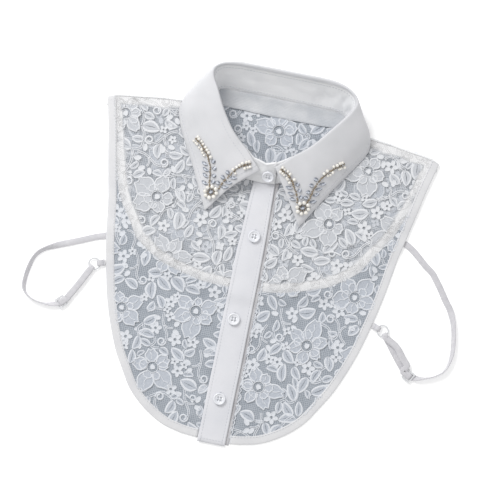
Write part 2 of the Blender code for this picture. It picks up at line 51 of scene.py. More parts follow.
# Camera and floor
VIEW_WIDE = 470
VIEW_TURN = radians(11.6)
VIEW_MIDDLE = (1.05, -117.3)
CAMERA_HIGH = 3000
SENSOR = 36
FLOOR_REACH = 3000
FLOOR_DROP = 0.3

# Cloth, as in the solids
LACE = 1.0
BINDING = 8.0
BINDING_THICK = 1.6
SEAM_GAP = 0.3
PANEL_TUCK = 2.5
FRONT_LIFT = 2.0
STRAP_LIFT = 1.6
HEM = -300.0
SHOULDER_FOOT = -6.0
PLACKET_MIDDLE = 1.5
PLACKET_FOOT = -303.0
PLACKET_HEAD = -55.0
PLACKET_TUCK = -50.0
PLACKET_THICK = 1.6
PLACKET_HIGH = 1.4
PLACKET_LAP = 1.3
UNDER_PLACKET_SHOWS = 3.5
PLACKET_HALF = [(-303, 13.2), (-200, 13.0), (-120, 12.6), (-55, 10.5)]  # y, half width
STAND_THICK = 1.4
LEAF_THICK = 1.2
STAND_LAP = 1.8
STAND_CREASE = 1.4
STAND_PUCKER = 1.9
LEAF_CREASE = 0.3
STAND_OVER_END = 12.0
STAND_UNDER_END = 11.0
BUTTON_RADIUS = 5.75
BUTTON_THICK = 2.6
BUTTONS = [("upper", 2.3, -104), ("middle", -0.8, -184), ("lower", 1.0, -260)]
STAND_BUTTON = (4.8, -45.0)
EYE = 1.3  # from the button's middle to each of its holes, across and up
EYE_RADIUS = 0.72
SHANK_HIGH = 1.62  # where the thread lies over the dish
ELASTIC_WIDE = 6.0
ELASTIC_THICK = 1.0
RING_RADIUS = 5.25
WIRE = 0.75
RING_Z = 2.05

# Sewing
STITCH_LONG = 2.1
STITCH_STEP = 2.9
STITCH_WIDE = 0.5
BINDING_HEM = 1.3
LEAF_HEM = 5

# Lace
NET_CELL = 1.8
NET_HIGH = 0.5
NET_STEP = 4.0
ROSE_STEP = (66, 57)
ROSE_SIZES = (20, 23)
LEAF_SIZES = (14, 18.5)
LEAF_RIM = 0.19
VEIN = 0.5
VINE = [(0, 0), (7, 1.2), (14, 0.2), (21, -2), (27, -1)]
VINE_SHOOT = [(12, 0.5), (15, -3), (15.5, -8)]
VINE_ROOM = [(3, 0.5, 2.2), (10, 0.8, 2.4), (17, -1, 2.4), (15.5, -8, 4), (27.5, 3, 5.4)]  # x, y, radius
VINE_TRIES = 160
# Share of the leaf's full size, tries, space round it
LEAF_KINDS = [(1.0, 1100, -0.2), (0.85, 2200, -0.3), (0.66, 3000, -0.4)]
# Tries, least and most size, room it takes as a share of its size, space round it
FILLERS = {
    "flower": (1000, 5.6, 6.8, 0.84, -0.4), "curl": (400, 4.0, 5.0, 0.9, -0.2),
    "star": (2800, 3.8, 5.0, 0.76, -0.5), "knob": (300, 1.3, 1.9, 1.0, 0.4),
}

# Outer edge of the binding, from the shoulder tip round to the placket: x, y
FRONT_EDGE = [
    (159, -3), (155.5, -18), (152, -33), (148.5, -51.5), (143.5, -76), (139, -98), (134.8, -127),
    (130.2, -152), (123, -183), (117.5, -201), (111, -218.5), (103.7, -235), (93.5, -252.3),
    (85, -265.6), (74, -277), (60, -287.2), (45, -294.6), (28, -298.7), (14, -300),
]
# The same edge of the back panel, from the shoulder tip to the middle of its hem
BACK_EDGE = [
    (157, -3), (150.5, -18), (147, -33), (142, -51.5), (136, -70), (131, -84), (125.5, -93.5),
    (119, -103), (113, -112), (107, -122), (100, -128), (90, -135), (80, -141), (70, -144.5),
    (57, -148.5), (37, -153.5), (17.5, -155), (0, -156),
]
BACK_HEM_TILT = 0.045
TIP_INWARDS = np.array((-0.95, 0.36))
SHOULDER = [(64, 10), (88, 8.5), (110, 6.7), (129, 4), (150, 1)]
BACK_NECK = [(63.5, 18), (60, 25), (48, 28), (0, 28.5)]
FACING_TOP = [(0, 27.2), (50, 27.2), (60, 26.2), (66, 21.5), (68, 13)]

# Stand: x, y of its seam, then x, y, z of its top, from the middle front to the middle back
STAND = [
    (0, -52, 0, -35, 15), (14, -51, 11, -31.5, 16), (28, -46, 21, -25, 18),
    (40, -38, 30.4, -18, 20), (50, -29, 39.5, -9, 22), (57.5, -19.5, 47.8, 2, 24),
    (63, -8, 56, 14, 26), (65, 2, 62, 24, 27), (65.3, 10, 65.8, 30.5, 27.5),
    (64, 18, 67.3, 36, 28), (61, 23.5, 65.5, 41.5, 28), (56.5, 25.7, 62, 44.8, 28),
    (50, 26.6, 56.5, 47.5, 27.5), (36, 26.9, 45, 49.4, 26.5), (24, 26.9, 30, 49.7, 26),
    (0, 26.9, 0, 49.7, 26),
]
# Leaf: x, y, z of its fold, which runs along the stand's top from the collar point to the middle back
FOLD = [(9, -36, 15), (20, -26, 18)] + [row[2:] for row in STAND[3:]]
# Then x, y, z of its middle and of its edge, beside each place of the fold
LEAF = [
    (27, -62, 11.5, 44.8, -87.6, 4.4), (37, -51.5, 14, 50.5, -77.5, 4.3), (46, -42, 15.5, 57, -65.5, 4.3),
    (55, -30, 17, 65, -51, 4.3), (64.5, -16.5, 18, 74, -36, 4.3), (74.5, -3.5, 19, 83, -21, 4.4),
    (82, 6, 18, 89.3, -8, 4.5), (85.5, 14, 17, 90.6, 2.5, 4.5), (82.3, 22, 16, 87, 11.5, 4.5),
    (76.5, 30.5, 15, 81, 21.5, 3), (70, 39, 14, 71, 32, 1.6), (60, 47, 13, 59, 38, 1.2),
    (46, 51, 13, 45, 38.5, 1.2), (30, 51.5, 13, 30, 38.5, 1.2), (0, 51.7, 13, 0, 38.5, 1.2),
]
# How far the worn collar has slipped sideways: y, x shift
COLLAR_SLIP = [(-90, -3.3), (0, 2), (20, 3), (35, 3), (52, 0)]
LEAF_SLIP = [(-90, -3.3), (-8, 1.5), (3, 0.3), (20, 0.5), (52, 0)]
# How far it is turned: y, rise to the right
COLLAR_TILT = [(5, 0.029), (26, -0.012), (50, 0.005)]
# The buttoned-over end pulls the left leaf's front corner to the middle: x, y
LEFT_CORNER = (3.6, -5)

# Bead sprig of one collar point: its two stems and its flower
SPRIG_OUTER = [(70, -23), (61.8, -29.5), (55.6, -36.2), (52, -43), (49, -51), (47.6, -60.5), (46, -65)]
SPRIG_INNER = [(14.8, -38.2), (21.8, -41.8), (27.6, -47.6), (31.4, -53.6), (35, -59.5), (37.4, -65.5)]
SPRIG_FLOWER = (43.5, -70)
SEED_STEP = 2.05
PEARL_STEP = 3.1
PEARL_SHARE = 0.45  # of each stem; stones go on from there

# Elastic: x, y of the middle of the tape and how far it is turned on edge, in degrees
LEFT_STRAP = [
    (-115, -121.5, 0), (-131.8, -130.3, 0), (-142.7, -134.2, 0), (-157.6, -140.8, 0),
    (-172.5, -147.1, 0), (-184.4, -152.8, 45), (-192.3, -158.4, 55), (-196.8, -165.5, 58),
    (-199.4, -175.5, 52), (-200.6, -186, 55), (-200.2, -193.6, 60), (-197.6, -198.5, 80),
    (-192.5, -202.3, 85), (-185.5, -204.6, 86), (-178.5, -205.2, 80), (-172.5, -204.6, 60),
    (-167, -203.2, 45), (-161.6, -199.6, 0), (-157, -193.4, 0), (-153.2, -186.6, 0), (-149.2, -179, 0),
    (-145.6, -171.6, 0),
]
RIGHT_STRAP = [
    (134.2, -80.4, 0), (142.5, -82.5, 0), (148.5, -85.4, 0), (156.6, -91.3, 0), (164.8, -98.2, 0),
    (172.9, -104, 0), (178, -109.9, 0), (184.1, -117.8, 0), (190.3, -126.7, 0), (196.4, -134.6, 0),
    (200.6, -143.5, -35), (203.7, -153.5, -48), (206, -166.5, -52), (206.6, -176.4, -60),
    (205.3, -185.5, -74), (202.4, -192.5, -85), (197.5, -197.1, -88), (190.6, -200.9, -88),
    (184, -203, -75), (178.6, -204, -40), (173.4, -204.2, 0), (168.6, -202.2, 0), (163.5, -197.4, 0),
    (158.4, -191.5, 0), (150.8, -182.2, 0), (144.4, -174.2, 0),
]
# Side: its tape, the ring, the tab's sewn end, the slider, how far the returning tape lies to one side
STRAPS = {
    "left": (LEFT_STRAP, (-139.6, -159.2), (-130.1, -156.1), (-162.6, -200.6), (0, 0)),
    "right": (RIGHT_STRAP, (138.4, -166.8), (128.4, -163.7), (170.6, -203.4), (3.6, 3.2)),
}


# Lines in plan

def between(table, at):
    """The second column of a table at a value of its first."""
    return float(np.interp(at, *zip(*table)))


def ease(t):
    t = np.clip(t, 0, 1)
    return t * t * (3 - 2 * t)


def curve(points, steps):
    """A Catmull-Rom line through points of any size, steps pieces to a span."""
    p = np.array(points, float)
    ends = np.vstack([2 * p[0] - p[1], p, 2 * p[-1] - p[-2]])
    t = (np.arange(steps) / steps)[:, None]
    spans = [0.5 * (2 * b + (c - a) * t + (2 * a - 5 * b + 4 * c - d) * t**2 + (3 * b - a - 3 * c + d) * t**3)
             for a, b, c, d in zip(ends, ends[1:], ends[2:], ends[3:])]
    return np.vstack([*spans, p[-1:]])


def mirrored(line):
    return np.array(line) * ([-1] + [1] * (len(line[0]) - 1))


def run_of(line):
    """How far along a line each of its points is."""
    return np.concatenate([[0], np.cumsum(np.linalg.norm(np.diff(line, axis=0), axis=1))])


def points_at(line, distance):
    """Where a line is at a distance, or at each of several, along it."""
    run = run_of(line)
    return np.stack([np.interp(distance, run, column) for column in line.T], axis=-1)


def walked(line, step):
    """Points at even distances along a line."""
    line = np.array(line, float)
    long = run_of(line)[-1]
    return points_at(line, np.linspace(0, long, max(2, round(long / step) + 1)))


def turns(count):
    """Even angles round a circle."""
    return np.linspace(0, 2 * pi, count, endpoint=False)


def circle(radius, count, middle=(0, 0)):
    return [(middle[0] + radius * cos(2 * pi * i / count),
             middle[1] + radius * sin(2 * pi * i / count)) for i in range(count)]


def turned(at, turn, u, v):
    """The spot that lies u ahead and v to the left of a place, looking along turn."""
    c, s = cos(turn), sin(turn)
    return (at[0] + u * c - v * s, at[1] + u * s + v * c)


def unit(vectors):
    """The directions of rows of vectors."""
    return vectors / np.maximum(np.linalg.norm(vectors, axis=-1, keepdims=True), 1e-6)


def leftwards(line):
    """The direction to the left at each point of a line."""
    along = unit(np.gradient(line, axis=0))
    return np.stack([-along[:, 1], along[:, 0]], axis=1)


def inset(line, distance, start, end):
    """A line moved to its right-hand side, its two ends along the directions start and end."""
    line = np.array(line, float)
    inwards = -leftwards(line)
    inwards[0], inwards[-1] = start, end
    return line + inwards * distance


def away_from(points, line):
    """How far each point of the plan is from a line."""
    points, line = np.array(points, float), np.array(line, float)
    nearest = np.full(len(points), 1e9)
    for a, b in zip(line, line[1:]):
        span = b - a
        t = np.clip((points - a) @ span / (span @ span), 0, 1)
        nearest = np.minimum(nearest, np.linalg.norm(points - a - t[:, None] * span, axis=1))
    return nearest


def within(points, outline):
    """True for each point of the plan that lies inside an outline."""
    x, y = np.array(points, float).T
    hit = np.zeros(len(x), bool)
    for (ax, ay), (bx, by) in zip(outline, np.roll(outline, -1, axis=0)):
        if ay != by:
            hit ^= ((ay > y) != (by > y)) & (x < ax + (y - ay) * (bx - ax) / (by - ay))
    return hit


def tilted_hem(line):
    """The back panel lies a little askew: its hem is higher on the right."""
    line = np.array(line, float)
    line[:, 1] += BACK_HEM_TILT * line[:, 0] * ease((-40 - line[:, 1]) / 60)
    return line


BACK_OUTLINE = tilted_hem(BACK_EDGE + [(-x, y) for x, y in BACK_EDGE[::-1][1:]])


def over_back(plan):
    """True where a front lies on the back panel."""
    return within(plan, BACK_OUTLINE) | (plan[:, 1] > SHOULDER_FOOT)


def lift(points):
    """How high the front's underside lies: over the back, over a strap or on the floor."""
    points = np.array(points, float)[:, :2]
    away = np.where(over_back(points), 0, away_from(points, BACK_OUTLINE))
    high = FRONT_LIFT * (1 - ease((away - 3) / 13))
    for strap, *_ in STRAPS.values():
        away = away_from(points, [p[:2] for p in strap[:3]])
        high = np.maximum(high, STRAP_LIFT * (1 - ease((away - 5) / 14)))
    return high


def placket_low(y):
    """How high the lace under the placket lies."""
    return float(lift([(PLACKET_MIDDLE, y)])[0])


def slip(x, y, table=COLLAR_SLIP):
    """Where a point of the collar lies after it has slipped."""
    return (x + between(table, y), y + between(COLLAR_TILT, y) * x)


# Materials

def colour(values):
    """A linear colour from screen values."""
    values = [c / 255 for c in values]
    return (*(c / 12.92 if c <= 0.04045 else ((c + 0.055) / 1.055) ** 2.4 for c in values), 1)


DOUBLED_NET = colour((230, 233, 238))
WHITENED = colour((235, 235, 236))
# Painted shade: the lace inside the neck is multiplied down by this, standing in for the collar's shade
NECK_PAINTED_SHADE = (0.66, 0.67, 0.68, 1)


class Shader:
    """A material's nodes, with short calls for the ones used here."""

    def __init__(self, name, rough, sheen=0.0, metallic=0.0, coat=0.0):
        self.material = bpy.data.materials.new(name)
        self.material.use_nodes = True
        self.tree = self.material.node_tree
        self.give({"Roughness": rough, "Metallic": metallic, "Sheen Weight": sheen, "Coat Weight": coat})

    def give(self, values, node=None):
        """Sets or links inputs of a node, or of the material itself."""
        inputs = (node or self.tree.nodes["Principled BSDF"]).inputs
        for key, value in values.items():
            if isinstance(value, bpy.types.NodeSocket):
                self.tree.links.new(value, inputs[key])
            else:
                inputs[key].default_value = value

    def node(self, kind, output, values, **settings):
        """The output of a new node."""
        node = self.tree.nodes.new(kind)
        for key, value in settings.items():
            setattr(node, key, value)
        self.give(values, node)
        return node.outputs[output]

    def read(self, name, output="Fac"):
        """What a mesh says at each point; its cloth place is millimetres along and across."""
        return self.node("ShaderNodeAttribute", output, {}, attribute_name=name)

    def clouds(self, scale, detail=2.0):
        """Slow unevenness over millimetres of the object's own frame."""
        where = self.node("ShaderNodeTexCoord", "Object", {})
        where = self.node("ShaderNodeMapping", "Vector", {"Vector": where, "Scale": (1 / MM,) * 3})
        return self.noise(where, scale, detail)

    def noise(self, where, scale, detail=2.0):
        return self.node("ShaderNodeTexNoise", "Fac", {"Vector": where, "Scale": scale, "Detail": detail})

    def wave(self, where, axis, period):
        values = {"Vector": where, "Scale": 2 * pi / (20 * period)}
        return self.node("ShaderNodeTexWave", "Fac", values, bands_direction=axis)

    def maths(self, operation, a, b, c=0.0):
        return self.node("ShaderNodeMath", 0, {0: a, 1: b, 2: c}, operation=operation)

    def total(self, *parts):
        """Values added up, each times its share."""
        value = 0.0
        for part, share in parts:
            value = self.maths("MULTIPLY_ADD", part, share, value)
        return value

    def stretch(self, value, low, high, to_low=0.0, to_high=1.0):
        return self.node("ShaderNodeMapRange", 0, {0: value, 1: low, 2: high, 3: to_low, 4: to_high})

    def blend(self, factor, one, other, kind="MIX"):
        return self.node("ShaderNodeMix", 2, {0: factor, 6: one, 7: other}, data_type="RGBA", blend_type=kind)

    def mixed(self, factor, one, other):
        return self.node("ShaderNodeMix", 0, {0: factor, 2: one, 3: other}, data_type="FLOAT")

    def tint(self, tone, low, high, dark, light):
        """A colour that goes from dark to light as tone goes from low to high."""
        return self.blend(self.stretch(tone, low, high), colour(dark), colour(light))

    def layers(self):
        """Whether the lace lies on other lace, and whether on white tape."""
        sheer = self.read("sheer")
        return self.stretch(sheer, 0, 0.5), self.stretch(sheer, 0.5, 1)

    def painted_neck_shade(self, value):
        """Painted shade: the lace inside the neck, where the collar shades it, multiplied darker."""
        return self.blend(self.read("neck"), value, NECK_PAINTED_SHADE, "MULTIPLY")

    def bump(self, height, deep):
        """Relief that is deep millimetres from its low to its high."""
        values = {"Height": height, "Distance": deep * MM, "Strength": 1.0}
        self.give({"Normal": self.node("ShaderNodeBump", "Normal", values)})


def woven(name, light, dark, thread, deep):
    """Plain-woven cotton: crossed threads, slubs and a slow unevenness of tone."""
    s = Shader(name, 0.85, 0.15)
    where = s.read("cloth", "Vector")
    weave = s.maths("MULTIPLY", s.wave(where, "X", thread), s.wave(where, "Y", thread))
    slubs = s.noise(where, 1.6, 3.0)
    tone = s.total((slubs, 0.35), (s.clouds(0.045), 0.65), (weave, 0.12))
    s.give({"Base Color": s.tint(tone, 0.35, 0.7, dark, light)})
    s.bump(s.total((weave, 1), (slubs, 0.8)), deep)
    return s.material


def netting(name, thread_colour, hole_colour):
    """Fine net: threads round small cells, clear where one layer of cloth lies on another."""
    s = Shader(name, 0.9, 0.1)
    where = s.read("cloth", "Vector")
    values = {"Vector": where, "Scale": 1 / NET_CELL, "Randomness": 0.35}
    cells = s.node("ShaderNodeTexVoronoi", "Distance", values, voronoi_dimensions="2D",
                   feature="DISTANCE_TO_EDGE")
    thread = s.stretch(cells, 0.17, 0.07)
    ground = s.tint(s.noise(where, 0.11, 3.0), 0.3, 0.7, hole_colour, thread_colour)
    on_lace, on_tape = s.layers()
    paler = s.maths("MAXIMUM", s.maths("MULTIPLY", thread, 0.42), on_lace)
    # Darkened inside the neck by painted shade
    ground = s.painted_neck_shade(s.blend(on_tape, s.blend(paler, ground, DOUBLED_NET), WHITENED))
    s.bump(thread, 0.12)
    clear = s.mixed(on_lace, s.stretch(thread, 0, 1, 0.95, 1.0), s.stretch(thread, 0, 1, 0.2, 0.5))
    s.give({"Base Color": ground, "Alpha": s.mixed(on_tape, clear, 1.0)})
    return s.material


def embroidery(name, light, dark, thread, deep, covers=None):
    """Close satin threads with darker valleys; covers is how dense they are alone, on lace and on tape."""
    s = Shader(name, 0.75, 0.2)
    where = s.read("cloth", "Vector")
    wander, rows = s.noise(where, 0.5, 2.0), s.wave(where, "DIAGONAL", thread)
    fill = s.tint(s.total((rows, 0.35), (wander, 0.65)), 0.36, 0.66, dark, light)
    s.bump(s.total((rows, 1), (wander, 1)), deep)
    if covers:
        on_lace, on_tape = s.layers()
        paler = s.maths("MAXIMUM", on_tape, s.maths("MULTIPLY", on_lace, 0.45))
        # Darkened inside the neck by painted shade
        fill = s.painted_neck_shade(s.blend(paler, fill, WHITENED))
        s.give({"Alpha": s.mixed(on_tape, s.mixed(on_lace, covers[0], covers[1]), covers[2])})
    s.give({"Base Color": fill})
    return s.material


def ribbed(name, light, dark):
    """Narrow woven elastic: raised ribs along it, crossed by fine picks."""
    s = Shader(name, 0.7, 0.15)
    where = s.read("cloth", "Vector")
    ribs, picks = s.wave(where, "Y", 1.0), s.wave(where, "X", 0.7)
    tone = s.total((ribs, 0.4), (s.noise(where, 0.25, 3.0), 0.6))
    s.give({"Base Color": s.tint(tone, 0.25, 0.8, dark, light)})
    s.bump(s.total((ribs, 1), (picks, 0.5)), 0.10)
    return s.material


def moulded(name, light, dark, rough, coat=0.3, metallic=0.0, scale=0.6, glow=0.0):
    """Moulded plastic, shell or metal with a faint cloudiness."""
    s = Shader(name, rough, 0.0, metallic, coat)
    clouds = s.clouds(scale, 3.0)
    s.give({"Base Color": s.tint(clouds, 0.35, 0.65, dark, light)})
    s.bump(clouds, 0.02)
    if glow:
        s.give({"Emission Color": (1, 1, 1, 1), "Emission Strength": glow})
    return s.material


COTTON = woven("cotton", (221, 221, 224), (210, 211, 214), 0.42, 0.045)
# Painted light: a paler copy of the leaf's cotton, so the stand, its lip and the shoulder roll stay light
# where they lie in shade
STAND_COTTON_PAINTED_LIGHT = woven("stand_cotton_painted_light", (247, 247, 248), (236, 237, 239), 0.42, 0.045)
PLACKET_COTTON = woven("placket_cotton", (226, 226, 230), (217, 218, 223), 0.42, 0.045)
# Its darker mottle stands both for the lace over the under placket and for painted shade beside the placket's
# edge
UNDER_COTTON_LACE_AND_SHADE = woven("under_placket_lace_and_shade", (216, 215, 217), (176, 174, 177), 0.9, 0.12)
FACING_COTTON = woven("facing_cotton", (219, 220, 222), (184, 188, 194), 1.1, 0.22)
TAPE = woven("binding_cotton", (227, 227, 228), (216, 216, 219), 0.36, 0.05)
NET = netting("net", (155, 162, 171), (134, 142, 152))
SATIN = embroidery("satin_fill", (209, 214, 222), (184, 190, 200), 0.55, 0.10, (0.9, 0.8, 0.15))
CORD = embroidery("cord_thread", (230, 232, 236), (211, 215, 222), 0.8, 0.10, (1, 0.97, 0.3))
THREAD = embroidery("sewing_thread", (212, 214, 218), (186, 189, 196), 0.5, 0.05)
ELASTIC = ribbed("elastic", (222, 221, 224), (196, 195, 200))
PLASTIC = moulded("ring_plastic", (226, 227, 229), (207, 208, 211), 0.3)
BUTTON = moulded("button_shell", (237, 238, 242), (224, 226, 232), 0.28, 0.5, 0.0, 0.25)
PEARL = moulded("pearl", (244, 242, 237), (228, 223, 214), 0.2, 0.7)
GOLD = moulded("gold_bead", (180, 164, 140), (108, 95, 78), 0.25, 0.4, 0.3, 1.2)
# Painted glint and painted reflection: the stones' tables are coloured bright and their facets dark, standing
# in for the glass's sparkle and dark reflections
STONE_TABLE_PAINTED_GLINT = moulded("stone_table_painted_glint", (226, 230, 238), (176, 182, 194), 0.12, 0.8, 0.0, 0.9)
STONE_FACET_PAINTED_REFLECTION = moulded("stone_facet_painted_reflection", (150, 155, 166), (96, 101, 112), 0.12, 0.8, 0.0, 1.1)
FLOOR = moulded("floor", (255, 255, 255), (253, 253, 253), 0.9, 0.0, 0.0, 0.004, 0.22)


# Meshes

def add_mesh(name, points, faces, materials, picked=None, cloth=None, smooth=True):
    """A mesh object from points in millimetres; cloth holds each point's place on the cloth."""
    mesh = bpy.data.meshes.new(name)
    points = np.array(points, float)
    mesh.from_pydata((points * MM).tolist(), [], [tuple(int(i) for i in f) for f in faces])
    for material in materials:
        mesh.materials.append(material)
    if picked is not None:
        mesh.polygons.foreach_set("material_index", np.array(picked, np.int32))
    mesh.polygons.foreach_set("use_smooth", [smooth] * len(mesh.polygons))
    cloth = points if cloth is None else cloth
    attribute = mesh.attributes.new("cloth", "FLOAT_VECTOR", "POINT")
    attribute.data.foreach_set("vector", cloth.astype(np.float32).ravel())
    mesh.update()
    return linked(name, mesh)


def linked(name, data):
    obj = bpy.data.objects.new(name, data)
    bpy.context.scene.collection.objects.link(obj)
    return obj


def place(obj, slot, *nodes):
    """Every piece stays with the one body, and takes the place of its solids."""
    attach(obj, "root")
    if nodes:
        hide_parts(*nodes)
    return obj


def quads(rows, count, round_it=True, closed=False):
    """Faces between rows of count points: round each row, and when closed from the last to the first."""
    return [(r * count + i, r * count + (i + 1) % count,
             (r + 1) % rows * count + (i + 1) % count, (r + 1) % rows * count + i)
            for r in range(rows if closed else rows - 1) for i in range(count if round_it else count - 1)]


def add_loft(name, sections, material, slot, *nodes, closed=False):
    """A solid through sections of equal length, its cloth places running along and round it."""
    points = np.array(sections, float)
    rows, count = points.shape[:2]
    cloth = np.zeros((rows, count, 3))
    cloth[..., 0] = run_of(points.mean(axis=1))[:, None]
    cloth[:, 1:, 1] = np.cumsum(np.linalg.norm(np.diff(points, axis=1), axis=2).mean(axis=0))
    faces = quads(rows, count, True, closed)
    if not closed:
        faces += [tuple(range(count))[::-1], tuple(range((rows - 1) * count, rows * count))]
    flat = points.reshape(-1, 3)
    volume = sum(float(np.dot(flat[f[0]], np.cross(flat[f[i]], flat[f[i + 1]])))
                 for f in faces for i in range(1, len(f) - 1))
    if volume < 0:
        faces = [f[::-1] for f in faces]
    return place(add_mesh(name, flat, faces, [material], cloth=cloth.reshape(-1, 3)), slot, *nodes)


def shell_sections(grid, thick, rumple):
    """Sections of a wall about a grid of points, its edges rounded.

    rumple(point, share up the row) is how far the cloth stands off its even face there.
    """
    grid, rim = np.array(grid, float), thick * 0.35
    normal = unit(np.cross(np.gradient(grid, axis=0), np.gradient(grid, axis=1)))
    push = [[rumple(p, i / (len(row) - 1)) for i, p in enumerate(row)] for row in grid]
    grid = grid + normal * np.array(push)[..., None]
    sections = []
    for row, up in zip(grid, normal * thick / 2):
        first, last = unit(row[0] - row[1]) * rim, unit(row[-1] - row[-2]) * rim
        sections.append(np.vstack([row + up, row[-1:] + last, (row - up)[::-1], row[:1] + first]))

    def end(near, far):
        low, out = (np.vstack([row, row[-1:], row[::-1], row[:1]])
                    for row in (grid[near], unit(grid[near] - grid[far])))
        return low + (sections[near] - low) * 0.4 + out * rim

    return [end(0, 1), *sections, end(-1, -2)]


def surface_of(obj):
    """A tree to drop things on an object, in millimetres."""
    points = [v.co / MM for v in obj.data.vertices]
    return BVHTree.FromPolygons(points, [tuple(p.vertices) for p in obj.data.polygons])


def dropped(tree, x, y):
    """The highest point of a surface at a place in plan, and its normal."""
    return tree.ray_cast(Vector((x, y, 80)), -UP)[:2]


def waver(*at):
    """Smooth seeded noise at a place."""
    return noise.noise(Vector(at))


class Gathered:
    """Many small shapes kept as one mesh."""

    def __init__(self):
        self.points, self.faces, self.picked, self.count = [], [], [], 0

    def add(self, points, faces, picked=None):
        self.points.append(np.array(points, float))
        self.faces += [tuple(i + self.count for i in f) for f in faces]
        self.picked += picked or [0] * len(faces)
        self.count += len(points)

    def mesh(self, name, *materials, smooth=True):
        return add_mesh(name, np.vstack(self.points), self.faces, materials, self.picked, smooth=smooth)


def stitch(sewing, at, along, up, long=STITCH_LONG, wide=STITCH_WIDE, high=0.3):
    """One thread seen between two holes: a low rounded bar that dips at its ends."""
    at, along, up = Vector(at), Vector(along).normalized(), Vector(up).normalized()
    side = up.cross(along).normalized()
    points = []
    for share, swell in ((-0.5, 0.35), (-0.3, 1.0), (0.3, 1.0), (0.5, 0.35)):
        for across, rise in ((-0.5, -0.1), (-0.3, 0.75), (0.0, 1.0), (0.3, 0.75), (0.5, -0.1)):
            height = rise * high * swell - (0.12 if swell < 1 else 0)
            points.append(at + along * long * share + side * wide * across * swell + up * height)
    sewing.add(points, [f[::-1] for f in quads(4, 5, False)])


def sew(sewing, line, tree):
    """Stitches along a line in plan, laid on a surface."""
    spots = walked([p[:2] for p in line], STITCH_STEP)
    for a, b in zip(spots, spots[1:]):
        hit, normal = dropped(tree, *((a + b) / 2))
        if hit is not None and normal.z > 0.2:
            along = Vector((*(b - a), 0))
            stitch(sewing, hit, along - normal * along.dot(normal), normal)


# Lace work, drawn in plan with a height over the net

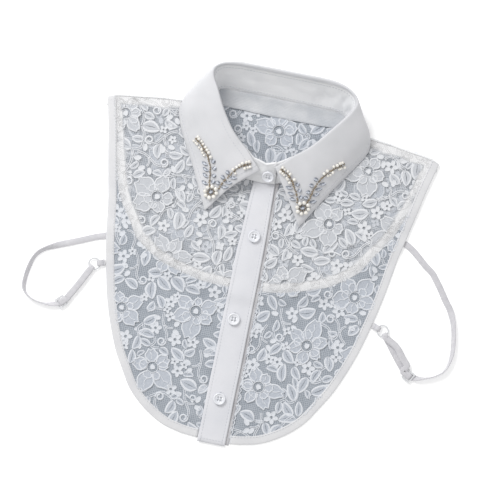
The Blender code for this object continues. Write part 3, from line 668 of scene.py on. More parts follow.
class Relief(Gathered):
    """Fills and cords of lace; each point is x, y and height."""

    def __init__(self, seed):
        super().__init__()
        self.rng = random.Random(seed)

    def strip(self, rows, cord=False):
        faces = quads(len(rows), len(rows[0]), False)
        self.add([p for row in rows for p in row], faces, [cord] * len(faces))

    def cord(self, line, radius, base=0.1, closed=False):
        """A raised thread along a line: four points across, open below."""
        line = np.array(line, float)
        if closed:
            line = np.vstack([line, line[:1]])
            side = leftwards(np.vstack([line[-2:-1], line, line[1:2]]))[1:-1]
        else:
            side = leftwards(line)
        self.strip([[(*(p + s * radius * k), base + h * radius)
                     for k, h in ((1, -0.3), (0.55, 0.75), (-0.55, 0.75), (-1, -0.3))]
                    for p, s in zip(line, side)], True)

    def stem(self, line, gap=0.85, base=0.05):
        """Two cords side by side."""
        line = curve(line, 4)
        for k in (-1, 1):
            self.cord(line + leftwards(line) * k * gap, 0.42, base)

    def leaf(self, at, turn, long, wide, bend, base):
        """An almond leaf: a thick bright rim, a thinner fill and an open vein."""
        def spots(t, *rows):
            u, sway = t * long, bend * sin(pi * t)
            return [(*turned(at, turn, u, side * v + sway), base + h) for v, h in rows]

        for side in (1, -1):
            fill, edge = [], []
            for t in np.arange(10) / 9:
                half = wide / 2 * sin(pi * t**0.85) ** 0.66
                slit = VEIN * max(0.0, sin(pi * (t - 0.14) / 0.62)) if 0.14 < t < 0.76 else 0.0
                slit = min(slit, half)
                inner = max(half - LEAF_RIM * wide, slit)
                fill.append(spots(t, (slit, 0.14), (inner, 0.14)))
                edge.append(spots(t, (inner, 0.18), ((inner + half) / 2, 0.5), (half, 0.1)))
            self.strip(fill)
            self.strip(edge, True)

    def petal(self, at, turn, near, far, wide, base, cord, lobes=0.0, neck=0.35, steps=6, bright=False):
        """A fan-shaped petal from a narrow neck to a rounded or notched end."""
        rows = []
        for t in np.arange(steps + 1) / steps:
            half = wide / 2 * (neck + (1 - neck) * sin(pi / 2 * min(1, t / 0.8)) ** 0.9)
            row = []
            for share in (-1, -0.72, -0.36, 0, 0.36, 0.72, 1):
                notch = lobes * {0: 1, 0.72: 0.7}.get(abs(share), 0)
                u = near + (far - near) * t * sqrt(1 - 0.62 * share * share) * (1 - notch)
                v = half * share * (1 - 0.12 * t**4 * abs(share))
                crown = 0.10 + 0.16 * abs(sin(1.6 * pi * share)) - 0.08 * (abs(share) == 1)
                row.append((*turned(at, turn, u, v), base + crown))
            rows.append(row)
        self.strip(rows, bright)
        line = [r[0] for r in rows] + rows[-1][1:-1] + [r[-1] for r in rows[::-1]]
        self.cord([p[:2] for p in line], cord, base + 0.08)

    def bud(self, at, turn, near, far, wide, base, cord=0.36, neck=0.3, steps=4):
        """A small petal of bright thread."""
        self.petal(at, turn, near, far, wide, base, cord, 0, neck, steps, True)

    def rose(self, at, turn, size, base):
        """A loose bloom seen a little from the side: an eye off its middle and uneven petals."""
        rng, count = self.rng, self.rng.choice((5, 6))
        eye = turned(at, turn, size * 0.2, 0)
        for i in range(count):
            way = turn + 2 * pi * (i + rng.uniform(-0.1, 0.1)) / count
            far = size * (1.0 - 0.2 * cos(way - turn)) * rng.uniform(0.74, 1.1)
            wide = 2 * pi * far * 0.62 / count * rng.uniform(0.76, 1.04)
            high = base + 0.12 * (i % 3)
            self.petal(eye, way, size * 0.26, far, wide, high, 0.8, rng.choice((0.12, 0.16, 0.2)))
            vein = [turned(eye, way + k, u * far, 0) for u, k in ((0.42, 0.05), (0.62, -0.04), (0.8, 0.08))]
            self.cord(vein, 0.42, high + 0.3)
        for i in range(4):
            way = turn + 1.1 + 1.15 * i + rng.uniform(-0.2, 0.2)
            far, wide = size * rng.uniform(0.5, 0.72), size * rng.uniform(0.34, 0.46)
            self.petal(eye, way, size * 0.27, far, wide, base + 0.38, 0.65, 0.14)
        self.cord(circle(size * 0.25, 16, eye), 0.45, base + 0.32, closed=True)
        self.bud(eye, turn, -size * 0.1, size * 0.12, size * 0.2, base + 0.3, 0.3, 0.75, 3)

    def flower(self, at, turn, size, base, petals):
        """Separate bright petals round a dark eye."""
        for i in range(petals):
            wide = size * (0.6 if petals == 5 else 0.66)
            self.bud(at, turn + 2 * pi * i / petals, size * 0.2, size, wide, base)

    def vine(self, at, turn, hand, base):
        """A double stem with a side shoot, ending in a coil."""
        def spots(line):
            return [turned(at, turn, u, hand * v) for u, v in line]

        self.stem(spots(VINE), 0.75, base)
        self.stem(spots(VINE_SHOOT), 0.6, base)
        (end_u, end_v), coil = VINE[-1], zip(np.linspace(0, -8, 18), np.linspace(4.2, 1.9, 18))
        coil = [(end_u + 0.5 - r * sin(a), end_v + 4.2 - r * cos(a)) for a, r in coil]
        self.cord(spots(coil), 0.85, base + 0.05)
        for u, v, way in ((17.5, -8, -0.9), (14, -9.5, -2.4), (6, 3.6, 1.9)):
            self.bud(*spots([(u, v)]), turn + hand * way, 0, 6.5, 4.2, base)

    def curl(self, at, turn, size, base):
        """A stem that hooks into a ring, with a bud on its bend."""
        line = [(size * 1.3 - 2.4 * size * t, 0.9 * size * sin(1.6 * t)) for t in (0, 0.3, 0.6)]
        for a in np.linspace(2.6, 8.4, 13):
            r = size * (0.66 - 0.05 * (a - 2.6))
            line.append((-size * 0.35 + r * cos(a), size * 0.42 + r * sin(a)))
        line = [turned(at, turn, u, v) for u, v in line]
        self.cord(line, 0.75, base)
        self.bud(line[2], turn + 2.3, 0.2, size * 0.75, size * 0.5, base, 0.34, 0.3, 3)


def scatter(outline, seed):
    """A closely packed all-over chart for one panel: kind, place, turn, size, width."""
    rng = random.Random(seed)
    low, high = np.min(outline, axis=0) - 14, np.max(outline, axis=0) + 14
    taken, radii, chart = np.zeros((0, 2)), np.zeros(0), []

    def anywhere():
        return tuple(rng.uniform(a, b) for a, b in zip(low, high))

    def free(spots, sizes, gap=0.0):
        return all((np.hypot(*(taken - p).T) > radii + r + gap).all() for p, r in zip(spots, sizes))

    def put(row, spots, sizes, gap=0.0):
        """Keeps a motif if the round spots that it takes are free."""
        nonlocal taken, radii
        if free(spots, sizes, gap):
            taken, radii = np.vstack([taken, spots]), np.concatenate([radii, sizes])
            chart.append(row)

    def fill(*kinds):
        for kind in kinds:
            tries, least, most, room, gap = FILLERS[kind]
            for _ in range(tries):
                at, size, turn = anywhere(), rng.uniform(least, most), rng.uniform(0, 2 * pi)
                put((kind, at, turn, size, 0), [at], [size * room], gap)

    rows, columns = (int((high[k] - low[k]) / ROSE_STEP[k]) + 2 for k in (1, 0))
    for r in range(rows):
        for i in range(columns):
            at = (low[0] + (i + 0.5 * (r % 2)) * ROSE_STEP[0] + rng.uniform(-7, 7),
                  low[1] + r * ROSE_STEP[1] + rng.uniform(-7, 7))
            size = rng.uniform(*ROSE_SIZES)
            if rng.random() < 0.9 and free([at], [size * 0.85]):
                put(("rose", at, rng.uniform(0, 6.3), size, 0), [at], [size * 0.85])
    for _ in range(VINE_TRIES):
        at, turn, hand = anywhere(), rng.uniform(0, 2 * pi), rng.choice((-1, 1))
        spots = [turned(at, turn, u, hand * v) for u, v, _ in VINE_ROOM]
        put(("vine", at, turn, hand, 0), spots, [radius for *_, radius in VINE_ROOM])
    for share, tries, gap in LEAF_KINDS:
        for _ in range(tries):
            at, turn = anywhere(), rng.uniform(0, 2 * pi)
            long = rng.uniform(*LEAF_SIZES) * share
            wide = long * rng.uniform(0.52, 0.68)
            spots = [turned(at, turn, long * t, 0) for t in (0.2, 0.5, 0.8)]
            put(("leaf", at, turn, long, wide), spots, [wide * 0.33, wide * 0.44, wide * 0.3], gap)
        if share == 1.0:
            fill("flower")
    fill("curl", "star", "knob")
    return chart


def draw_chart(outline, seed):
    """A panel's lace: stems from leaves to what is nearest, then every motif."""
    relief, rng, chart = Relief(seed + 2), random.Random(seed + 1), scatter(outline, seed)
    others = np.array([at for kind, at, *_ in chart if kind in ("rose", "leaf")])
    for n, (x, y) in enumerate(at for kind, at, *_ in chart if kind == "leaf"):
        gaps = np.hypot(*(others - (x, y)).T)
        gaps[gaps < 3] = 1e9
        ox, oy = others[gaps.argmin()]
        if gaps.min() < 32 and n % 3:
            sway = rng.uniform(-0.3, 0.3)
            middle = ((x + ox) / 2 + (oy - y) * sway, (y + oy) / 2 - (ox - x) * sway)
            relief.stem([(x, y), middle, (ox, oy)])
    for kind, at, turn, size, wide in chart:
        high = rng.uniform(0.0, 0.16)
        if kind == "rose":
            relief.rose(at, turn, size, high + 0.2)
        elif kind == "leaf":
            relief.leaf(at, turn, size, wide, rng.uniform(-0.13, 0.13) * size, high + 0.08)
        elif kind == "vine":
            relief.vine(at, turn, size, high + 0.1)
        elif kind == "curl":
            relief.curl(at, turn, size, high + 0.12)
        elif kind == "knob":
            relief.bud(at, turn, -size, size, size * 1.5, high, 0.36, 0.75, 3)
        else:
            relief.flower(at, turn, size, high + 0.15, 5 if kind == "flower" else rng.choice((4, 5)))
    return relief


def mark(obj, plan, marks):
    """Gives each point of a mesh its values in the plan, by attribute name."""
    for name, value in marks.items():
        attribute = obj.data.attributes.new(name, "FLOAT", "POINT")
        attribute.data.foreach_set("value", value(plan).astype(np.float32))
    return obj


def add_relief(name, outline, seed, height, marks, covered=None):
    """The lace's raised work over a panel, cut off just past the outline.

    Both faces of the cloth show, so it is laid under the net as well, but not where covered.
    """
    relief = draw_chart(outline, seed)
    points, faces, cord = np.vstack(relief.points), np.array(relief.faces), np.array(relief.picked)
    middles = points[faces].mean(axis=1)[:, :2]
    inside = within(middles, outline)
    faces, cord, middles = faces[inside], cord[inside], middles[inside]
    bare = ~cord & (covered(middles) < 0.25) if covered else ~cord
    base = height(points[:, :2])
    top = np.column_stack([points[:, :2], base + 0.06 + points[:, 2]])
    under = np.column_stack([points[:, :2], base - 0.12 - 0.4 * points[:, 2]])
    both = np.vstack([faces, faces[bare][:, ::-1] + len(points)])
    used, order = np.unique(both, return_inverse=True)
    everything = np.vstack([top, under])[used]
    picked = np.concatenate([cord, np.zeros(bare.sum(), bool)]).astype(int)
    flat = everything * (1, 1, 0)
    obj = add_mesh(name, everything, order.reshape(both.shape), [SATIN, CORD], picked, flat)
    return place(mark(obj, flat[:, :2], marks), "lace")


# Panels

def front_edge(side, steps=6):
    """The outer edge of the front's binding in plan, down to the placket."""
    left, right = over_sides(HEM)
    foot = SEAM_GAP + (right + UNDER_PLACKET_SHOWS if side > 0 else -left)
    line = curve(FRONT_EDGE[:-1], steps)
    line = np.vstack([line[line[:, 0] > foot + 3], [(foot, HEM + 0.2)]])
    return line if side > 0 else mirrored(line)


def front_inset(side, reach, steps=6):
    """The same edge moved in by reach."""
    return inset(front_edge(side, steps), side * reach, side * TIP_INWARDS * (side, 1), (0, side))


def back_line(reach, steps=6):
    """The back's edge from tip to tip, moved in by reach."""
    half = curve(BACK_EDGE, steps)
    outer = np.vstack([tilted_hem(half), tilted_hem(mirrored(half))[::-1][1:]])
    return inset(outer, reach, TIP_INWARDS, TIP_INWARDS * (-1, 1))


def placket_side(side, y, lap):
    """Where the front's inner edge lies, lap millimetres on under the placket."""
    left, right = over_sides(y)
    return right + UNDER_PLACKET_SHOWS + SEAM_GAP - lap if side > 0 else left + PLACKET_LAP + lap


def front_outline(side):
    """A front panel in plan, running on below its binding."""
    edge = front_inset(side, BINDING + SEAM_GAP - PANEL_TUCK, 3)
    inner = [(placket_side(side, y, PANEL_TUCK * 0.6), y) for y in np.arange(edge[-1][1], -54, 8)]
    neck = [slip(side * x * 0.98, y + 0.7) for x, y, *_ in curve(STAND[:8], 3)]
    neck = [p for p in neck if abs(p[0]) > abs(inner[-1][0]) + 2]
    return np.vstack([edge[:-1], inner, neck, np.array(SHOULDER) * (side, 1)])


def back_outline():
    neck = np.array([*SHOULDER[::-1], *BACK_NECK], float)
    return np.vstack([back_line(BINDING + SEAM_GAP - PANEL_TUCK, 3), mirrored(neck), neck[::-1][1:]])


def add_net(name, outline, height, marks, node):
    """The net ground: a fine sheet over an outline in plan, with closer points along the back's binding."""
    edge = walked(np.vstack([outline, outline[:1]]), NET_STEP)[:-1]
    rim = np.vstack([edge, edge[:1]])
    low, high = outline.min(axis=0), outline.max(axis=0)
    grid = np.array([(x + (r % 2) * NET_STEP / 2, y)
                     for r, y in enumerate(np.arange(low[1], high[1], NET_STEP * 0.87))
                     for x in np.arange(low[0], high[0], NET_STEP)])
    grid = grid[within(grid, outline)]
    grid = grid[away_from(grid, rim) > NET_STEP * 0.4]
    grid = grid[away_from(grid, back_line(BINDING / 2)) > BINDING / 2 + 2]
    band = np.vstack([walked(back_line(reach), 3) for reach in (-0.1, 0.9, BINDING, BINDING + 1.2)])
    band = band[within(band, outline)]
    band = band[away_from(band, rim) > 0.8]
    loose = [Vector(p) for p in np.vstack([edge, grid, band])]
    flat, _, faces, *_ = delaunay_2d_cdt(loose, [], [list(range(len(edge)))], 1, 1e-5)
    plan = np.array([tuple(p) for p in flat])
    points, cloth = (np.column_stack([plan, z]) for z in (height(plan), np.zeros(len(plan))))
    obj = add_mesh(name, points, faces, [NET], cloth=cloth)
    return place(mark(obj, plan, marks), "lace", node)


def front_height(plan):
    """The net of a front, with a slow swell."""
    return lift(plan) + NET_HIGH + 0.12 * np.sin(plan[:, 0] / 9) * np.sin(plan[:, 1] / 13)


def back_height(plan):
    return np.full(len(plan), NET_HIGH)


def sheer(plan):
    """0 where a front lies alone, 0.5 on the back panel's lace, 1 on its binding or the shoulder's."""
    away, *seams = (away_from(plan, line) for line in (BACK_OUTLINE, SHOULDER, mirrored(SHOULDER)))
    tape = 1 - ease((np.minimum(away, np.minimum(*seams)) - BINDING - 0.8) / 0.8)
    return np.where(over_back(plan), 0.5 * ease(away / 1.2) + 0.5 * tape * ease(away / 0.8), 0)


def neck_shade_share(plan):
    """How much painted shade the back gets: 1 where it shows inside the neck, falling to 0 under the collar's
    seam.
    """
    right, left = ([slip(side * x, y) for x, y, *_ in curve(STAND, 3)] for side in (1, -1))
    ring = np.array(right + left[::-1])
    return np.where(within(plan, ring), ease(away_from(plan, ring) / 2), 0)


def add_lace():
    for side, name in SIDES:
        outline, marks = front_outline(side), {"sheer": sheer}
        net = add_net(f"lace_net_front_{name}", outline, front_height, marks, f"front_panel_{name}")
        relief = add_relief(f"lace_work_front_{name}", outline, 20 + side, front_height, marks, sheer)
    # The back's lace carries the painted shade inside the neck
    outline, marks = back_outline(), {"neck": neck_shade_share}
    net = add_net("lace_net_back", outline, back_height, marks, "back_panel")
    relief = add_relief("lace_work_back", outline, 7, back_height, marks)


def add_binding(name, outer, inner, height, node):
    """A folded bias strip: rounded edges, a soft crown and a slight ripple along it."""
    profile = ((0, 0.5), (0.02, 0.15), (0.08, 0), (0.5, 0), (0.92, 0), (0.98, 0.15), (1, 0.5),
               (0.97, 0.85), (0.9, 0.97), (0.8, 0.93), (0.5, 1.0), (0.2, 1.0), (0.08, 0.93), (0.02, 0.78))
    outer = walked(outer, 2.5)
    inner = points_at(inner, np.linspace(0, 1, len(outer)) * run_of(inner)[-1])
    plan = np.array([[o + (i - o) * s for s, _ in profile] for o, i in zip(outer, inner)])
    lows = height(plan.reshape(-1, 2)).reshape(plan.shape[:2])
    sections = []
    for r, (row, low) in enumerate(zip(plan, lows)):
        thick = BINDING_THICK * (1 + 0.10 * waver(r * 0.16, 3.1, 0))
        sections.append([(*p, h + up * thick) for p, h, (_, up) in zip(row, low, profile)])
    obj = add_loft(name, sections, TAPE, "binding", node)
    return surface_of(obj)


def add_bindings(sewing):
    """Both fronts' bindings and the back's, sewn along their inner edges."""
    for side, name in SIDES:
        tree = add_binding(f"binding_front_{name}", front_edge(side), front_inset(side, BINDING), lift,
                           f"front_binding_{name}")
        sew(sewing, front_inset(side, BINDING - BINDING_HEM), tree)
    tree = add_binding("binding_back", back_line(0), back_line(BINDING), lambda plan: np.zeros(len(plan)),
                       "back_binding")
    sew(sewing, back_line(BINDING - BINDING_HEM), tree)


def add_shoulders():
    """The shoulder seam: its pressed allowance inside, and the roll that joins front and back."""
    flat = [(-0.4, 1.3), (-8.4, 1.3), (-8.6, 1.5), (-8.4, 1.9), (-0.4, 1.9)]
    roll = [(0.9 * cos(a) - 0.4, 1.55 * (1 + sin(a)))
            for a in np.linspace(-pi / 2, pi / 2, 7)] + [(-1.6, 3.1), (-1.6, 0.0)]
    for side, name in SIDES:
        line = curve(SHOULDER + [(158, -2.6)], 6) * (side, 1)
        # The roll takes the stand's paler cotton, painted light, so its shaded side shows no dark line
        for piece, shape, cloth in (("allowance", flat, TAPE), ("seam", roll, STAND_COTTON_PAINTED_LIGHT)):
            sections = [[(x, y + v, z) for v, z in shape] for x, y in line]
            add_loft(f"shoulder_{piece}_{name}", sections, cloth, "cotton")


# Button band

def over_sides(y):
    """Left and right edges of the placket."""
    half = between(PLACKET_HALF, y)
    return PLACKET_MIDDLE - half, PLACKET_MIDDLE + half


def under_sides(y):
    """Left and right edges of the under placket."""
    left, right = over_sides(y)
    return left + PLACKET_LAP + SEAM_GAP, right + UNDER_PLACKET_SHOWS


def add_band(name, node, foot, sides, high, thick, material):
    """A folded band, its head tucked under the stand."""
    edge = ((0, 0.5), (0.25, 0.86), (0.9, 1.0), (2.0, 1.02), (2.9, 0.93), (3.8, 1.02))
    sections = []
    for y in walked([(foot, 0), (PLACKET_TUCK, 0)], 2.5)[:, 0]:
        left, right = sides(y)
        low = placket_low(y) + high * (1 - float(ease((y - PLACKET_HEAD) / 4)))
        wander, thin = 0.35 * waver(0, y / 34, 1.7), min(1.0, 0.35 + (y - foot) / 1.5)
        profile = [(left + d, h) for d, h in edge] + [((left + right) / 2, 1)]
        profile += [(right - d, h) for d, h in edge[::-1]] + [(right - 0.4, 0.05), (left + 0.4, 0.05)]
        sections.append([(x + wander, y, low + thick * (h * thin + 0.1 * waver(x / 9, y / 17, 0)))
                         for x, h in profile])
    obj = add_loft(name, sections, material, "cotton", node)
    return surface_of(obj)


def add_buttonhole(sewing, x, y, tree):
    """An upright buttonhole: close stitches down both its lips and a bar at each end."""
    rows = [(u, v, (1, 0, 0), (1.3, 0.55, 0.35)) for u in (-0.95, 0.95) for v in np.arange(-5.4, 5.5, 0.62)]
    rows += [(u, v, (0, 1, 0), (1.2, 0.6, 0.4)) for v in (-6.0, 6.0) for u in (-0.6, 0, 0.6)]
    for u, v, along, size in rows:
        hit, normal = dropped(tree, x + u, y + v)
        stitch(sewing, hit, along, normal, *size)


def add_scallops():
    """The small lacy scallops that stand out beside the under placket."""
    plan = np.array([(under_sides(y)[1] + 0.2 + 1.3 * abs(sin(pi * y / 4.4)), y)
                     for y in np.arange(PLACKET_FOOT + 3, PLACKET_HEAD - 6, 0.6)])
    sections = [[(x + 0.55 * cos(a), y, z + 0.7 + 0.45 * sin(a)) for a in turns(8)]
                for (x, y), z in zip(plan, front_height(plan))]
    add_loft("under_placket_scallops", sections, CORD, "lace")


def add_plackets(sewing):
    # The under placket's darker mottle is lace and painted shade together
    under = add_band("under_placket_cloth", "under_placket", PLACKET_FOOT + 1.5, under_sides, 0.0, LACE,
                     UNDER_COTTON_LACE_AND_SHADE)
    over = add_band("placket_cloth", "placket", PLACKET_FOOT, over_sides, PLACKET_HIGH, PLACKET_THICK,
                    PLACKET_COTTON)
    rows = np.arange(PLACKET_FOOT + 1, PLACKET_HEAD, 4)
    for k, inwards in ((0, 2.9), (1, -2.9)):
        sew(sewing, [(over_sides(y)[k] + inwards, y) for y in rows], over)
    left, right = over_sides(HEM)
    sew(sewing, [(left + 2, HEM + 0.8), (right - 2, HEM + 0.8)], over)
    for _, x, y in BUTTONS:
        add_buttonhole(sewing, x, y, over)
    sew(sewing, [(under_sides(y)[1] - 1.2, y) for y in rows], under)
    add_scallops()


def add_facing(sewing):
    """The strip sewn inside the back neck, its upper edge turned up under the stand."""
    profile = ((0, 0.5), (0.02, 0.9), (0.08, 1.0), (0.2, 0.9), (0.5, 1.02), (0.75, 1.0), (0.9, 1.0),
               (1, 0.6), (0.98, 0.05), (0.75, 0.05), (0.02, 0.05))
    half = curve(FACING_TOP, 8)
    sections = []
    for x, y in np.vstack([mirrored(half)[::-1], half[1:]]):
        low = 9.6 + 0.8 * min(1.0, (x / 60) ** 2) + 0.5 * waver(x / 9, 0, 0)
        high = max(y, low + 0.6)
        section = []
        for share, z in profile:
            y = low + (high - low) * share
            lifted = 1.5 * float(ease((share - 0.6) / 0.35)) + 0.25 * waver(x / 7, y / 5, 0) * share
            section.append((x, y, LACE + SEAM_GAP + z * LACE + lifted))
        sections.append(section)
    obj = add_loft("neck_facing_cloth", sections, FACING_COTTON, "cotton", "back_neck_facing")
    sew(sewing, [(x, 11.2 + 0.8 * (x / 60) ** 2) for x in range(-56, 57, 4)], surface_of(obj))


# Collar

def raised(x, y):
    """How far the stand's over end, and the leaf above it, ride over the under end."""
    return float(STAND_LAP * (1 - ease((-15 - x) / 14)) * (1 - ease((x - 16) / 10))) if y < 0 else 0.0


def lean_of(bottom, top):
    """Which way the stand runs up, and the way out of its face."""
    lean = (top - bottom).normalized()
    return lean, Vector((0, -lean.z, lean.y))


def stand_section(row, raise_by, steps=10):
    """Points up the stand at one station of its half table."""
    bx, by, tx, ty, tz = row
    bottom_z = 4.0 if by < 9 else 4.0 - 1.1 * ease((by - 9) / 8)
    bottom, top = Vector((*slip(bx, by), bottom_z)), Vector((*slip(tx, ty), tz))
    outwards = lean_of(bottom, top)[1] * raise_by
    bow = Vector((bx, by + 10, 0)).normalized() * 0.8
    return [tuple(bottom + (top - bottom) * t + bow * 4 * t * (1 - t) + outwards)
            for t in np.linspace(0, 1, steps)]


def front_section(x, raise_by=STAND_LAP):
    """The stand's section at a place across the front."""
    (a, b), share = STAND[:2], abs(x) / STAND[1][0]
    _, by, tx, ty, tz = (u + (v - u) * share for u, v in zip(a, b))
    return stand_section((x, by, copysign(tx, x), ty, tz), raise_by)


def stand_grid():
    """The whole stand: the over end, the left half, the right half and the under end."""
    half = curve(STAND, 5)
    grid = [front_section(x) for x in np.arange(STAND_OVER_END, -13, -2.5)]
    grid += [stand_section(row, raised(row[0], row[1])) for row in (half * (-1, 1, -1, 1, 1))[5:]]
    grid += [stand_section(row, 0) for row in half[:-1][::-1][:-4]]
    return grid + [front_section(x, 0) for x in np.arange(11.5, -STAND_UNDER_END - 0.1, -2.5)]


def leaf_section(row):
    """The leaf at one station: up off the stand, over the fold and down to its edge."""
    fold, middle, edge = (Vector((*slip(*row[i:i + 2], table), row[i + 2]))
                          for i, table in ((0, COLLAR_SLIP), (3, LEAF_SLIP), (6, LEAF_SLIP)))
    fold += Vector((0, -0.55, 0.84)) * raised(row[0], row[1])
    if row[0] < 0 and row[1] < 0:
        fold += Vector((*LEFT_CORNER, 0)) * float(ease((23 + row[0]) / 14))
    out = Vector((middle.x - fold.x, middle.y - fold.y, 0)).normalized()
    out = (out + Vector((fold.x, fold.y + 10, 0)).normalized() * float(ease((fold.y - 20) / 15))).normalized()
    start = fold + UP * 1.3
    return curve([start, start + out * 0.7 + UP * 1.7, start + out * 3 + UP * 1.9, middle, edge], 6)


def leaf_grid():
    """The whole leaf from its left point to its right."""
    half = curve([(*fold, *shown) for fold, shown in zip(FOLD, LEAF)], 6)
    left = half * (-1, 1, 1, -1, 1, 1, -1, 1, 1)
    return [leaf_section(row) for row in np.vstack([left, half[::-1][1:]])]


def stand_rumple(p, share):
    """Slack creases between the stand's two sewn edges, with upright puckers at the right back."""
    creases = STAND_CREASE * noise.fractal(Vector((p[0] / 22, p[1] / 14, p[2] / 9)), 1.0, 2.0, 2)
    puckered = float(ease((p[0] - 5) / 25) * ease((p[1] - 12) / 10))
    puckers = STAND_PUCKER * puckered * waver(p[0] / 4.2, p[1] / 9, p[2] / 30)
    return sin(pi * share) * (creases + puckers)


def leaf_rumple(p, share):
    """Slow unevenness of the leaf."""
    return LEAF_CREASE * noise.fractal(Vector(p) / 30, 1.0, 2.0, 2) * sin(pi * (0.1 + 0.8 * share))


def add_lip():
    """The soft roll along the stand's upper edge where the leaf leaves it bare in front."""
    line = [Vector(front_section(x)[-1]) for x in np.arange(-15, STAND_OVER_END + 0.1, 1.5)]
    sections = []
    for i, p in enumerate(line):
        thick = 0.5 + 0.8 * sin(pi * i / (len(line) - 1)) ** 0.5
        thick *= 1 + 0.12 * waver(*(p / 4))
        sections.append([p + Vector((0, cos(a), sin(a))) * thick for a in turns(12)])
    # In the stand's paler cotton, painted light
    return add_loft("stand_lip", sections, STAND_COTTON_PAINTED_LIGHT, "cotton")


def add_stand(sewing):
    """The stand, its lip, and a row of stitches near its top and its foot."""
    grid = stand_grid()
    # In the paler cotton, painted light that lifts the stand's shaded inner face
    stand = add_loft("stand_cloth", shell_sections(grid, STAND_THICK, stand_rumple), STAND_COTTON_PAINTED_LIGHT,
                     "cotton", "collar_stand")
    lip = add_lip()
    tree = surface_of(stand)
    for k in (8, 1):
        line = walked([row[k] for row in grid], STITCH_STEP)
        for a, b in zip(line, line[1:]):
            hit, normal, _, _ = tree.find_nearest(Vector((a + b) / 2))
            if normal.dot(Vector((0, 5, 16)) - hit) < 0:
                hit, normal = hit - normal * STAND_THICK, -normal
            stitch(sewing, hit, b - a, normal)


def add_leaf(sewing):
    """The leaf, stitched along its free edge and beside the left of its fold."""
    rows = leaf_grid()
    leaf = add_loft("leaf_cloth", shell_sections(rows, LEAF_THICK, leaf_rumple), COTTON,
                    "cotton", "collar_leaf")
    tree = surface_of(leaf)
    for side, run in ((-1, rows), (1, rows[::-1])):
        front, beside = run[0][8:], run[5][8:]
        corner = (front + unit(beside - front) * LEAF_HEM)[np.linalg.norm(front - front[-1], axis=1) > 6.5]
        edge = [points_at(row[::-1], LEAF_HEM) for row in run]
        edge = [p for p in edge if p[1] < 8 and p[0] * side > 42]
        sew(sewing, [*corner, *edge[1:]], tree)
    sew(sewing, [row[13] for row in rows if row[13][0] < 0 and row[13][1] < -2], tree)
    return tree


# Beads

def ball(at, radius, flat, up, across=10, high=7):
    """A bead: rings from pole to pole about up."""
    turn = UP.rotation_difference(up)
    shape = [(0, 0, -1)]
    for a in (pi * k / high for k in range(1, high)):
        shape += [(sin(a) * cos(b), sin(a) * sin(b), -cos(a)) for b in turns(across)]
    shape.append((0, 0, 1))
    points = [at + turn @ Vector((radius * x, radius * y, radius * flat * z)) for x, y, z in shape]
    ring, last = [(i, (i + 1) % across) for i in range(across)], 1 + (high - 2) * across
    faces = [(0, 1 + j, 1 + i) for i, j in ring]
    faces += [[1 + i for i in f] for f in quads(high - 1, across)]
    return points, faces + [(last + i, last + j, last + across) for i, j in ring]


def stone(at, up, along, long, wide):
    """A cut stone: a flat table, slanting facets and a thin girdle; the table and every fourth facet take the
    bright first material, the rest the dark second one, as painted glint and painted reflection.
    """
    up, along = Vector(up).normalized(), Vector(along)
    along = (along - up * up.dot(along)).normalized()
    side = up.cross(along)
    points = []
    for k, (r, z) in enumerate(((1.0, 0.0), (1.0, 0.3), (0.8, 0.62), (0.48, 0.8))):
        for a in (2 * pi * (i + 0.5 * (k % 2)) / 8 for i in range(8)):
            points.append(at + along * long / 2 * r * cos(a) + side * wide / 2 * r * sin(a)
                          + up * wide / 2 * z)
    faces = [tuple(range(8))[::-1], tuple(range(24, 32))]
    for k, (a, b, d, c) in enumerate(quads(4, 8)):
        faces += [(a, b, c), (b, d, c)] if k // 8 % 2 == 0 else [(a, b, d), (a, d, c)]
    return points, faces, [1, 0] + [int(n // 2 % 4 > 0) for n in range(len(faces) - 2)]


def add_sprig(side, tree, beads):
    """Beads of one collar point, each sewn flat to the leaf."""
    rng = random.Random(5 + side)

    def laid(spot, rise):
        hit, normal = dropped(tree, *slip(side * spot[0], spot[1], LEAF_SLIP))
        return hit + normal * rise, normal

    def seed(spot, radius):
        at, up = laid(spot, 0.55)
        beads["gold"].add(*ball(at, radius, 0.9, up, 8, 6))

    def pearl(spot, radius):
        at, up = laid(spot, radius * 0.85)
        beads["pearl"].add(*ball(at, radius, 0.95, up))

    def crystal(spot, way, long, wide):
        beads["stone"].add(*stone(*laid(spot, 0.15), (side * way[0], way[1], 0), long, wide))

    for line, outer in ((SPRIG_OUTER, 1), (SPRIG_INNER, -1)):
        stem = curve(line, 8)
        for spot in walked(stem, SEED_STEP):
            seed(spot + (rng.uniform(-0.35, 0.35), rng.uniform(-0.35, 0.35)), rng.uniform(0.8, 1.1))
        spots = walked(stem, PEARL_STEP)
        for k, (spot, ahead) in enumerate(zip(spots[:-1], unit(np.gradient(spots, axis=0)))):
            normal = np.array((-ahead[1], ahead[0])) * outer
            if k / len(spots) < PEARL_SHARE:
                for hand in (1, -1):
                    away, off = rng.uniform(1.9, 2.7), rng.uniform(-0.8, 0.8)
                    if rng.random() < 0.85:
                        pearl(spot + normal * hand * away + ahead * off, rng.uniform(1.3, 1.7))
            elif k % 2:
                crystal(spot + normal * 4.3 - ahead * 0.8, normal - ahead * 0.75, 6.8, 3.3)
                crystal(spot - normal * 3.7 - ahead * 0.8, -normal - ahead * 0.3, 4.4, 4.0)
    for spot in circle(5.3, 8, SPRIG_FLOWER):
        pearl(spot, rng.uniform(1.85, 2.15))
    for spot in circle(2.8, 9, SPRIG_FLOWER):
        seed(spot, 0.75)
    crystal(SPRIG_FLOWER, (1, 0), 4, 4)


def add_beads(tree):
    # The stones' two materials are painted glint and painted reflection
    kinds = {"gold": [GOLD], "pearl": [PEARL], "stone": [STONE_TABLE_PAINTED_GLINT, STONE_FACET_PAINTED_REFLECTION]}
    beads = {kind: Gathered() for kind in kinds}
    for side, _ in SIDES:
        add_sprig(side, tree, beads)
    for kind, materials in kinds.items():
        place(beads[kind].mesh(f"beads_{kind}", *materials, smooth=kind != "stone"), "button")


# Buttons

